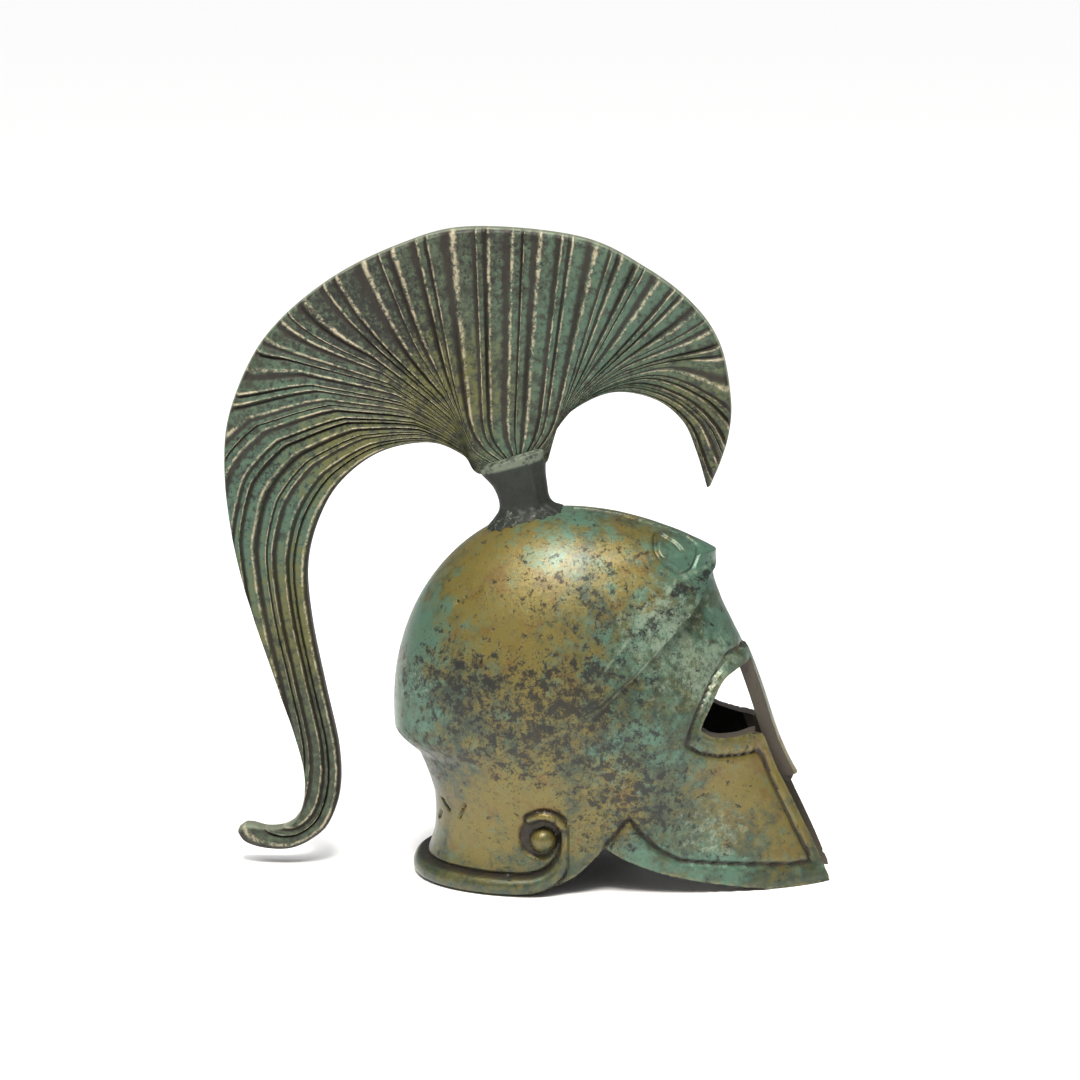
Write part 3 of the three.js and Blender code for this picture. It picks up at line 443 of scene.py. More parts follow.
def volume(mesh):
    """Signed volume in cubic millimetres: the sum of the tetrahedra from the origin to each face."""
    mesh.calc_loop_triangles()
    corners = np.zeros(len(mesh.loop_triangles) * 3, np.int32)
    mesh.loop_triangles.foreach_get("vertices", corners)
    points = np.zeros(len(mesh.vertices) * 3)
    mesh.vertices.foreach_get("co", points)
    a, b, c = points.reshape(-1, 3)[corners.reshape(-1, 3)].transpose(1, 0, 2) / MM
    return float(np.einsum("ij,ij->i", a, np.cross(b, c)).sum() / 6)


def new_piece(name, points, faces, kind=SKIN, uv=None):
    """A closed mesh given in millimetres, turned to face outward, with its faces marked as one kind.
    The kind travels through the cuts as a material's number, and the three materials are then dropped."""
    mesh = bpy.data.meshes.new(name)
    mesh.from_pydata((points * MM).tolist(), [], faces)
    for part in ("skin", "inner", "cut"):
        mesh.materials.append(bpy.data.materials.get(part) or bpy.data.materials.new(part))
    mesh.polygons.foreach_set("material_index", np.full(len(mesh.polygons), kind, np.int32))
    layer = mesh.uv_layers.new(name="strand")
    corners = np.zeros(len(mesh.loops), np.int32)
    mesh.loops.foreach_get("vertex_index", corners)
    per_vertex = np.full((len(points), 2), -1.0) if uv is None else uv
    layer.data.foreach_set("uv", per_vertex[corners].ravel())
    if volume(mesh) < 0:
        mesh.flip_normals()
    piece = bpy.data.objects.new(name, mesh)
    bpy.context.scene.collection.objects.link(piece)
    return piece


def rings_piece(name, rings, low, high, kind=SKIN):
    """Rings joined by quads, closed by a fan to a point at each end."""
    rows, count = rings.shape[:2]
    points = np.vstack([rings.reshape(-1, 3), [low], [high]])
    i, j = np.meshgrid(np.arange(rows - 1), np.arange(count), indexing="ij")
    a, b = i * count + j, i * count + (j + 1) % count
    quads = np.stack([a, b, b + count, a + count], axis=-1).reshape(-1, 4)
    k = np.arange(count)
    bottom = np.stack([(k + 1) % count, k, np.full(count, rows * count)], axis=-1)
    top = (rows - 1) * count + np.stack([k, (k + 1) % count, np.full(count, count + 1)], axis=-1)
    return new_piece(name, points, quads.tolist() + np.vstack([bottom, top]).tolist(), kind)


def prism(name, side_outline, near, far, across="y"):
    """A closed outline pushed straight through: along y for a side view, along x for a front view."""
    flat = np.asarray(side_outline, float)
    count = len(flat)
    depth = np.repeat([near, far], count)
    both = np.vstack([flat, flat])
    if across == "y":
        points = np.stack([both[:, 0], depth, both[:, 1]], axis=-1)
    else:
        points = np.stack([depth, both[:, 0], both[:, 1]], axis=-1)
    ends = [list(range(count)), list(range(2 * count - 1, count - 1, -1))]
    k = np.arange(count)
    following = (k + 1) % count
    sides = np.stack([following, k, k + count, following + count], axis=-1).tolist()
    return new_piece(name, points, ends + sides, CUT)


def rod(name, radius, low_z, high_z, sides=32):
    """An upright round rod round the pin's axis, with the cut kind."""
    turn = np.linspace(0, 2 * np.pi, sides, endpoint=False)
    ring = np.stack([PIN_X + radius * np.cos(turn), radius * np.sin(turn), 0 * turn], axis=-1)
    rings = np.stack([ring + [0, 0, low_z], ring + [0, 0, high_z]])
    return rings_piece(name, rings, (PIN_X, 0, low_z), (PIN_X, 0, high_z), CUT)


def combine(target, tool, operation):
    """Cut the tool out of the target, add it or keep what both share; the tool is used up."""
    change = target.modifiers.new("combine", "BOOLEAN")
    change.operation = operation
    change.solver = "MANIFOLD"
    change.object = tool
    made = bpy.data.meshes.new_from_object(target.evaluated_get(bpy.context.evaluated_depsgraph_get()))
    target.modifiers.remove(change)
    old, used = target.data, tool.data
    target.data = made
    bpy.data.meshes.remove(old)
    bpy.data.objects.remove(tool)
    bpy.data.meshes.remove(used)
    return target


print("solid maker ready")

# %% [markdown]
# ## The shell
#
# The skin is laid out as a grid of bearings and levels, finer where the relief is. The wall's inside
# is a smoother copy of the skin, 3 mm in and thinner at the nasal. Then the face is opened.

# %% The shell
OUTER_COLUMNS, INNER_COLUMNS = 400, 120
OUTER_ROWS = np.concatenate([np.linspace(-2, -1, 84, endpoint=False), np.linspace(-1, 0, 16, endpoint=False),
                             np.linspace(0, 0.985, 108)])
INNER_ROWS = np.concatenate([np.linspace(-2, -1, 20, endpoint=False), np.linspace(-1, 0, 8, endpoint=False),
                             np.linspace(0, 0.94, 26)])


def skin_grid(columns, rows, softness=0.0):
    """The skin on a grid, and its outward normals."""
    bearing, level = np.meshgrid(even_bearings(columns), rows)
    rings = skin(bearing, level, softness)
    return bearing, rings, grid_normals(rings)


def outer_skin(name, offset, relief):
    """The closed outer form, moved out by an offset, with or without its relief."""
    _, rings, normals = skin_grid(OUTER_COLUMNS if relief else INNER_COLUMNS,
                                  OUTER_ROWS if relief else INNER_ROWS)
    height = shell_height(rings, shell_fields(rings)) if relief else 0.0
    rings = rings + normals * (np.asarray(height)[..., None] + offset)
    return rings_piece(name, rings, (20, 0, -SKIRT), (CROWN_X, 0, CROWN_Z + offset))


def inner_form():
    """The hollow: the softened skin moved in by the wall, less along the front line."""
    bearing, rings, normals = skin_grid(INNER_COLUMNS, INNER_ROWS, INNER_SOFTNESS)
    left = np.where(bearing <= np.pi, bearing, 2 * np.pi - bearing)
    below_edge = smooth(-0.6, -1.1, INNER_ROWS)[:, None]
    front = smooth(math.radians(150), np.pi, left) * below_edge
    rings = rings - normals * (WALL * (1 - NASAL_THINNING * front))[..., None]
    rings[0, :, 2] = -2 * SKIRT
    return rings_piece("hollow", rings, (20, 0, -2 * SKIRT), (CROWN_X, 0, CROWN_Z - WALL), INNER)


def slot_cutter():
    """The gap between the cheek guards, less the nasal that hangs in it."""
    gap = [(-SLOT_LOW, -9), (-SLOT_HIGH, LOWER_LID_Z), (SLOT_HIGH, LOWER_LID_Z), (SLOT_LOW, -9)]
    slot = prism("slot", gap, SLOT_BACK_X, AHEAD, "x")
    w, n, corner = NASAL_HALF_WIDTH, NASAL_END_HALF_WIDTH, NASAL_END_Z + NASAL_CORNER
    bar = [(-w, 60), (-w, corner), (-n, NASAL_END_Z), (n, NASAL_END_Z), (w, corner), (w, 60)]
    return combine(slot, prism("nasal", bar, 30, AHEAD + 5, "x"), "DIFFERENCE")


shell = outer_skin("helmet_shell_cast", 0.0, relief=True)
combine(shell, inner_form(), "DIFFERENCE")
for side in (-1, 1):
    near, far = sorted((side * NASAL_HALF_WIDTH, side * WIDE))
    combine(shell, prism("eye", smooth_line(outline(EYE), 2), near, far), "DIFFERENCE")
combine(shell, slot_cutter(), "DIFFERENCE")
combine(shell, prism("nasal_tip", outline(NASAL_TIP_CUT), -SLOT_LOW, SLOT_LOW), "DIFFERENCE")
ground = np.vstack([smooth_line(outline(GROUND_LINE), 4), [(90, 0), (90, -40), (-60, -40), (-60, 0)]])
combine(shell, prism("ground", ground, -WIDE, WIDE), "DIFFERENCE")
combine(shell, rod("pin_hole", PIN_RADIUS + GAP, 76, 94), "DIFFERENCE")
print("shell", len(shell.data.polygons), "faces,", round(volume(shell.data) / 1000, 1), "cubic cm")

# %% [markdown]
# ## The crest
#
# The hair fans out of a socket. Its strands follow one field over the plume: `reached` is the share
# of the strands that lie below a place, so each strand is a line on which that share stays the same.
# The right side of the fan is short; the left side streams down into the long tail.

# %% Tables of the crest
PLUME = {
    "inner_x": [-68.0, -66.2, -61.5, -55.5, -50.2, -46.3, -43.9, -44.1, -47.0, -50.0, -50.8, -48.1, -42.6,
                -33.5, -22.3, -14.5, -10.2, 3.9, 4.6, 9.2, 19.0, 28.8, 35.5, 38.8, 41.3],
    "inner_z": [7.6, 5.3, 3.9, 4.0, 6.6, 10.6, 18.5, 28.8, 43.0, 59.0, 71.8, 82.7, 92.0,
                98.9, 101.2, 98.3, 93.9, 96.5, 100.7, 107.9, 113.1, 111.9, 106.9, 99.7, 91.4],
    "outer_x": [-67.9, -65.6, -61.0, -56.7, -54.0, -52.3, -52.2, -54.2, -59.0, -64.2, -68.1, -69.6, -67.8,
                -59.9, -45.9, -29.0, -13.0, 12.0, 27.5, 38.1, 44.1, 46.5, 46.1, 44.3, 42.0],
    "outer_z": [8.4, 9.7, 8.7, 9.3, 11.4, 15.8, 22.5, 31.0, 46.0, 62.0, 78.5, 95.0, 108.8,
                125.0, 137.7, 146.4, 150.5, 148.4, 141.1, 132.8, 123.6, 111.5, 104.0, 97.6, 91.9]}
LIP_LEFT, LIP_RIGHT, LAST_ROW = 16, 17, 24
STRANDS_OUT = {"row": [0, 4, 6, 8, 10, 11, 12, 13, 14, 15, 16, 17, 18, 19, 20, 21, 22, 23, 24],
               "share": [0, 0.05, 0.07, 0.1, 0.13, 0.165, 0.205, 0.28, 0.36, 0.435, 0.5, 0.62, 0.71, 0.785,
                         0.845, 0.89, 0.92, 0.96, 1]}
CROWDING = {"row": [11, 12, 13, 14, 15, 16, 17, 18, 19, 20, 21, 22],
            "power": [1, 1.2, 1.7, 3.2, 7.5, 24, 24, 6.5, 3.2, 2.1, 1.4, 1]}
SOCKET = {"left_x": [-11.0, -8.5, -6.8, -6.3, -6.7, -8.0, -10.7, -10.4, -9.4],
          "right_x": [13.5, 9.0, 6.2, 5.1, 4.7, 4.3, 4.4, 4.2, 3.4],
          "left_z": [79.0, 82.2, 84.6, 86.4, 88.6, 91.2, 94.2, 95.6, 96.3],
          "right_z": [83.0, 85.9, 87.2, 88.8, 91.2, 94.6, 98.4, 100.0, 100.4],
          "half_width": [8.5, 6.4, 4.6, 4.0, 3.8, 3.9, 4.5, 4.5, 3.2]}
SOCKET_CORNER_POWER = 0.7
STRANDS = 54
STRAND_COLUMNS = np.array([0.0, 0.12, 0.24, 0.38, 0.62, 0.86])
STRAND_ROWS = 112
PLUME_HALF_THICKNESS = 2.3
STRAND_RAISE = 0.75
GATHER = 0.495  # how much closer the rows of a strand lie towards both of its ends
SEAT_GAP = 0.05


def edge_place(edge, row):
    """Place on the inner or outer edge of the plume at a row, which may fall between two."""
    return np.stack([curve(PLUME[edge + "_x"], row), curve(PLUME[edge + "_z"], row)], axis=-1)


def reached(row, height):
    """Share of the strands below a place: at a row's inner edge those that have left the socket, at
    its outer edge those that have reached the rim. Between, the share that is still missing is the
    height left, raised to a power: the higher it is, the straighter the strands fan out."""
    leaving = np.clip((row - LIP_LEFT) / (LIP_RIGHT - LIP_LEFT), 0, 1)
    spread = 1 - (1 - height) ** np.interp(row, CROWDING["row"], CROWDING["power"])
    return mix(leaving, np.interp(row, STRANDS_OUT["row"], STRANDS_OUT["share"]), spread)


def strand_lines(shares, rows):
    """Each strand as a line of places. Progress along it counts both height and rows crossed, and
    at each progress the height at which `reached` gives the strand's share is found by halving."""
    first = mix(LIP_LEFT, LIP_RIGHT, shares)[:, None]
    last = np.interp(shares, STRANDS_OUT["share"], STRANDS_OUT["row"])[:, None]
    way = np.where(last < first, -1.0, 1.0)
    total = 1 + np.abs(last - first)
    progress = total * np.linspace(0, 1, 241)[None, :]
    low = np.maximum(0, progress - np.abs(last - first))
    high = np.minimum(1, progress)
    for _ in range(34):
        middle = (low + high) / 2
        below = (reached(first + way * (progress - middle), middle) - shares[:, None]) * -way < 0
        low, high = np.where(below, middle, low), np.where(below, high, middle)
    height = (low + high) / 2
    row = np.clip(first + way * (progress - height), 0, LAST_ROW)
    lines = mix(edge_place("inner", row), edge_place("outer", row), height[..., None])
    t = np.linspace(0, 1, rows)
    even = t - GATHER * np.sin(2 * np.pi * t) / (2 * np.pi)
    made = np.zeros((len(shares), rows, 2))
    for i, line in enumerate(lines):
        length = np.concatenate([[0], np.cumsum(np.linalg.norm(np.diff(line, axis=0), axis=1))])
        for k in range(2):
            made[i, :, k] = np.interp(even * length[-1], length, line[:, k])
    return made, even


def strand_wave(index, seed):
    """A fixed value from 0 to 1 for each strand, from the fraction of a large sine."""
    return np.mod(np.sin(index * 12.9898 + seed * 78.233) * 43758.5453, 1.0)


def plume():
    """Two faces of strands, back to back, joined round their edges. Each strand has a narrow worn
    ridge, a groove beside it and a broad flat; all are shallower where the strands crowd together."""
    phases = np.tile(STRAND_COLUMNS, STRANDS)
    index = np.repeat(np.arange(STRANDS), len(STRAND_COLUMNS))
    u = np.concatenate([index + phases, [STRANDS - 1e-3]])
    uneven = u + 0.22 * np.sin(2.4 * u) + 0.15 * (np.sin(0.9 * u + 1) - np.sin(1))
    shares = np.clip(uneven / uneven[-1], 1e-5, 1 - 1e-5)
    lines, along = strand_lines(shares, STRAND_ROWS)
    spacing = np.linalg.norm(np.roll(lines, -3, 0) - np.roll(lines, 3, 0), axis=-1)
    spacing[:3], spacing[-3:] = spacing[3], spacing[-4]
    phase, strand = np.mod(u, 1.0)[:, None], np.floor(u)[:, None]
    bold = 0.25 + 0.75 * strand_wave(strand, 1)
    fade = 0.75 + 0.25 * np.sin(9 * along[None, :] + 6.3 * strand_wave(strand, 2))
    ridge = np.exp(-((phase - 0.24) / 0.11) ** 2)
    groove = np.exp(-((np.mod(phase + 0.5, 1) - 0.5) / 0.10) ** 2)
    flat = 0.25 * np.sin(np.pi * phase)
    crowd = np.clip(spacing / 2.5, 0, 1)
    height = STRAND_RAISE * crowd * fade * bold * (0.75 * ridge + flat - 0.7 * groove)
    gap = np.minimum(np.linalg.norm(lines - lines[:1], axis=-1), np.linalg.norm(lines - lines[-1:], axis=-1))
    tip = np.linalg.norm(lines - lines[:, -1:], axis=-1)
    rim = smooth(0, 1.1, np.minimum(gap, tip))
    half = mix(PLUME_HALF_THICKNESS - 0.7, PLUME_HALF_THICKNESS + height, rim)
    columns, rows = lines.shape[:2]
    faces = [np.stack([lines[..., 0], side * half, lines[..., 1]], -1).reshape(-1, 3) for side in (-1, 1)]
    uv = np.stack([np.broadcast_to(u[:, None], half.shape), np.broadcast_to(along[None, :], half.shape)], -1)
    uv = np.tile(uv.reshape(-1, 2), (2, 1))
    i, j = np.meshgrid(np.arange(columns - 1), np.arange(rows - 1), indexing="ij")
    a = (i * rows + j).ravel()
    other = columns * rows
    near = np.stack([a, a + rows, a + rows + 1, a + 1], -1)
    round_the_edge = np.concatenate([np.arange(rows), np.arange(1, columns) * rows + rows - 1,
                                     other - 2 - np.arange(rows - 1), (np.arange(columns - 2, 0, -1)) * rows])
    following = np.roll(round_the_edge, -1)
    side_faces = np.stack([round_the_edge, following, following + other, round_the_edge + other], -1)
    quads = np.vstack([near, near[:, ::-1] + other, side_faces])
    return new_piece("crest_cast", np.vstack(faces), quads.tolist(), uv=uv)


def socket(rows=72, sides=96):
    """A squarish tube lofted up its table, with a seam down the right side and a lumpy foot."""
    t = np.linspace(0, len(SOCKET["left_x"]) - 1, rows)
    turn = np.linspace(0, 2 * np.pi, sides, endpoint=False)
    power = SOCKET_CORNER_POWER
    across = np.sign(np.cos(turn)) * np.abs(np.cos(turn)) ** power
    out = np.sign(np.sin(turn)) * np.abs(np.sin(turn)) ** power
    share = (across + 1) / 2
    column = {name: curve(values, t)[:, None] for name, values in SOCKET.items()}
    x = mix(column["left_x"], column["right_x"], share)
    z = mix(column["left_z"], column["right_z"], share)
    y = column["half_width"] * out
    seam = 0.5 * np.exp(-((across - 0.55) / 0.10) ** 2) * (np.abs(out) > 0.3) * smooth(1.5, 3, t)[:, None]
    foot = smooth(3.4, 1.2, t)[:, None]
    lumps = 0.45 * foot * np.sin(1.9 * x + 1.3 * z) * np.sin(1.6 * y + 0.9 * z + 0.7)
    y = y + np.sign(out) * (seam * smooth(6.3, 5.6, t)[:, None] + lumps)
    rings = np.stack([x, y, z], -1)
    low, high = (((SOCKET["left_x"][k] + SOCKET["right_x"][k]) / 2, 0,
                  (SOCKET["left_z"][k] + SOCKET["right_z"][k]) / 2) for k in (0, -1))
    return rings_piece("socket", rings, low, high)


crest = plume()
combine(crest, socket(), "UNION")
combine(crest, outer_skin("seat", SEAT_GAP, relief=False), "DIFFERENCE")
combine(crest, rod("crest_pin_hole", PIN_RADIUS + GAP, 70, 94.3), "DIFFERENCE")
print("crest", len(crest.data.polygons), "faces,", round(volume(crest.data) / 1000, 1), "cubic cm")

# %% [markdown]
# ## Patina
#
# The colour is built up as it is on the real thing: a brown and ochre metal, a thin green and
# turquoise crust that holds in some regions, black specks that gather where the founder's acid
# pooled, dark grooves, and edges that handling has rubbed bright. Some light and shade is painted in
# on top: painted shade under the bowl's edge, a painted highlight along that edge and a painted sheen
# on the front of the bowl. All of it follows the object's own coordinates, so it stays put from every side.

# %% Shader arithmetic


class Signal:
    """A shader socket that can be added, multiplied and compared like a number."""

    def __init__(self, tree, socket):
        self.tree, self.socket = tree, socket

    def node(self, kind, output=0, settings=None, **inputs):
        """Any other node: its type, its settings, and its sockets by number (_0, _1) or name."""
        made = self.tree.nodes.new(kind)
        for name, value in (settings or {}).items():
            setattr(made, name, value)
        for name, value in inputs.items():
            key = int(name[1:]) if name[1:].isdigit() else name.replace("_", " ")
            if isinstance(value, Signal):
                self.tree.links.new(value.socket, made.inputs[key])
            else:
                made.inputs[key].default_value = value
        return Signal(self.tree, made.outputs[output])

    def math(self, operation, *others):
        """One Math node on this signal and the others."""
        values = {"_%d" % i: value for i, value in enumerate((self,) + others)}
        return self.node("ShaderNodeMath", 0, {"operation": operation}, **values)

    def __add__(self, other): return self.math("ADD", other)
    def __radd__(self, other): return self.math("ADD", other)
    def __sub__(self, other): return self.math("SUBTRACT", other)
    def __rsub__(self, other): return self.math("MULTIPLY_ADD", -1.0, other)
    def __mul__(self, other): return self.math("MULTIPLY", other)
    def __rmul__(self, other): return self.math("MULTIPLY", other)
    def __pow__(self, other): return self.math("POWER", other)

    def most(self, other):
        """The larger of the two."""
        return self.math("MAXIMUM", other)

    def step(self, low, high):
        """0 at low and 1 at high, smoothly between; low may be the larger."""
        return self.node("ShaderNodeMapRange", 0, {"interpolation_type": "SMOOTHSTEP"},
                         _0=self, _1=low, _2=high, _3=0.0, _4=1.0)

    def paint(self, under, over):
        """A colour: under where this signal is 0, over where it is 1."""
        return self.node("ShaderNodeMix", 2, {"data_type": "RGBA"}, _0=self, _6=under, _7=over)


class Patina:
    """A material under way: places in millimetres, noise, distances kept on the mesh, and patches."""

    def __init__(self, name):
        self.material = bpy.data.materials.get(name) or bpy.data.materials.new(name)
        self.material.use_nodes = True
        self.tree = self.material.node_tree
        self.shader = self.tree.nodes["Principled BSDF"]
        start = Signal(self.tree, None)
        here = start.node("ShaderNodeTexCoord", "Object")
        self.place = here.node("ShaderNodeVectorMath", 0, {"operation": "SCALE"}, _0=here, Scale=1 / MM)
        parts = self.place.node("ShaderNodeSeparateXYZ", 0, _0=self.place).socket.node.outputs
        self.x, self.y, self.z = (Signal(self.tree, part) for part in parts)
        self.wander = (self.noise(0.09, 3.0) - 0.5) * 14.0

    def noise(self, scale, detail=4.0, roughness=0.6, distortion=0.0, stretch=(1.0, 1.0, 1.0)):
        """Cloudy noise about 0.5, with this many features to a millimetre."""
        at = self.place.node("ShaderNodeVectorMath", 0, {"operation": "MULTIPLY"}, _0=self.place, _1=stretch)
        return at.node("ShaderNodeTexNoise", 0, None, Vector=at, Scale=scale, Detail=detail,
                       Roughness=roughness, Distortion=distortion)

    def kept(self, name):
        """A distance kept on the mesh."""
        return self.place.node("ShaderNodeAttribute", "Fac", {"attribute_name": name})

    def patch(self, x, z, radius, soft=0.85):
        """A cloudy patch centred at a place in side view, on both sides."""
        gap = ((self.x - x) ** 2.0 + (self.z - z) ** 2.0) ** 0.5 + self.wander
        return gap.step(radius * (1 + soft), radius * (1 - soft))

    def patches(self, rows):
        """The strongest of several patches, each with its own strength."""
        total = None
        for x, z, radius, strength in rows:
            one = self.patch(x, z, radius) * strength
            total = one if total is None else total.most(one)
        return total

    def finish(self, colour, roughness, metallic, height, **constants):
        """Wire the shader: what varies goes to its own socket, what is even is set on it."""
        bump = height.node("ShaderNodeBump", 0, None, Strength=1.0, Distance=MM, Height=height)
        for name, value in (("Base Color", colour), ("Roughness", roughness), ("Metallic", metallic),
                            ("Normal", bump)):
            if isinstance(value, Signal):
                self.tree.links.new(value.socket, self.shader.inputs[name])
            else:
                self.shader.inputs[name].default_value = value
        for name, value in constants.items():
            self.shader.inputs[name.replace("_", " ")].default_value = value


OCHRE = (0.150, 0.118, 0.024, 1)
RUST = (0.120, 0.066, 0.014, 1)
OLIVE = (0.058, 0.070, 0.030, 1)
DEEP_GREEN = (0.028, 0.046, 0.031, 1)
TURQUOISE = (0.070, 0.150, 0.104, 1)
# Pale green for the crust, also used for a painted sheen and a painted highlight.
PALE_GREEN_AND_HIGHLIGHT = (0.230, 0.300, 0.215, 1)
BLACK = (0.0075, 0.0080, 0.0080, 1)
BROWN = (0.016, 0.011, 0.008, 1)
TAN = (0.420, 0.370, 0.255, 1)
CUT_BROWN = (0.060, 0.050, 0.036, 1)
RUBBED_GOLD = (0.210, 0.185, 0.085, 1)
INSIDE_BLACK = (0.012, 0.011, 0.009, 1)
STRAND_SHADE = (0.024, 0.030, 0.019, 1)
STRAND_GREEN = (0.058, 0.078, 0.046, 1)
STRAND_BLUE = (0.060, 0.118, 0.082, 1)
STRAND_OLIVE = (0.098, 0.098, 0.027, 1)
RIM_GREEN = (0.22, 0.25, 0.18, 1)
SOCKET_BLACK = (0.010, 0.012, 0.011, 1)
LIP_GREEN = (0.19, 0.225, 0.165, 1)
print("patina kit ready")

# %% [markdown]
# ### Helmet
#
# Ochre in the middle of the bowl, on the neck and on the cheek; turquoise round the rear edge, on the
# brow and along the foot of the cheek; black specks thickest low on the bowl, and thicker still under
# its edge as painted shade; pale green that is partly crust and partly painted sheen on the front of
# the bowl; and a painted highlight along the edge in front.
# Each row of a table is a cloudy patch: x, z, radius and strength.

# %% Helmet patina
OCHRE_PLACES = [(-8, 66, 15, 1.0), (4, 52, 17, 0.8), (-4, 72, 16, 0.9), (24, 74, 9, 0.8), (0, 24, 15, 0.8),
                (-12, 14, 10, 0.9), (52, 25, 11, 1.0), (60, 12, 7, 0.8), (16, 22, 11, 0.7)]
TURQUOISE_PLACES = [(-26, 62, 10, 1.0), (-28, 42, 10, 0.9), (40, 76, 10, 1.0), (26, 62, 12, 0.6),
                    (30, 6, 8, 1.0), (44, 5, 8, 0.8), (45, 60, 8, 0.8), (10, 84, 8, 0.7), (30, 38, 12, 0.6)]
# Pale green patches: partly a pale crust, partly a painted sheen on the front of the bowl.
PALE_CRUST_AND_SHEEN_PLACES = [(32, 61, 10, 0.9), (40, 52, 9, 0.9), (44, 14, 8, 0.6), (-28, 48, 6, 0.5)]
DARK_PLACES = [(-14, 48, 11, 0.9), (2, 44, 13, 1.0), (16, 46, 10, 0.9), (20, 36, 14, 0.7), (24, 24, 12, 0.8),
               (8, 60, 14, 0.35), (18, 66, 12, 0.45), (-22, 30, 7, 0.7), (10, 35, 10, 0.6)]


def keep_shell_distances(piece):
    """Store the distances of the relief on the mesh's vertices, and the kind of each face."""
    mesh = piece.data
    flat = np.zeros(len(mesh.vertices) * 3)
    mesh.vertices.foreach_get("co", flat)
    p = flat.reshape(-1, 3) / MM
    f = shell_fields(p)
    left = np.arctan2(np.abs(p[:, 1]), -(p[:, 0] - BOWL_WIDEST_X))
    border_groove = np.where(f["border"] > -0.3, np.abs(f["border"] - 0.55), FAR)
    stored = {"engraved": np.minimum(f["brow"], border_groove),
              "slit": f["slit"], "cut_edge": f["cut"], "border": f["border"], "scroll": f["scroll"],
              "knob": f["knob"], "bead_top": np.abs(f["bead"] - f["bead_radius"] - 0.3) + 9 * (p[:, 0] > 11),
              "above_crease": p[:, 2] - crease_height(left)}
    for name, values in stored.items():
        layer = mesh.attributes.new(name, "FLOAT", "POINT")
        layer.data.foreach_set("value", np.clip(values, -20, 20).astype(np.float32))
    keep_kinds(mesh)


def keep_kinds(mesh):
    """Store on each face whether it is cast skin (0), inner wall (1) or cut (2), and use one material."""
    kinds = np.zeros(len(mesh.polygons), np.int32)
    mesh.polygons.foreach_get("material_index", kinds)
    layer = mesh.attributes.new("kind", "FLOAT", "FACE")
    layer.data.foreach_set("value", kinds.astype(np.float32))
    mesh.polygons.foreach_set("material_index", np.zeros(len(kinds), np.int32))


def dress(piece, material, angle):
    """Give a mesh one material, smooth faces and sharp edges above an angle in degrees."""
    mesh = piece.data
    mesh.materials.clear()
    mesh.materials.append(material)
    mesh.polygons.foreach_set("use_smooth", np.ones(len(mesh.polygons), bool))
    mesh.set_sharp_from_angle(angle=math.radians(angle))
    mesh.update()


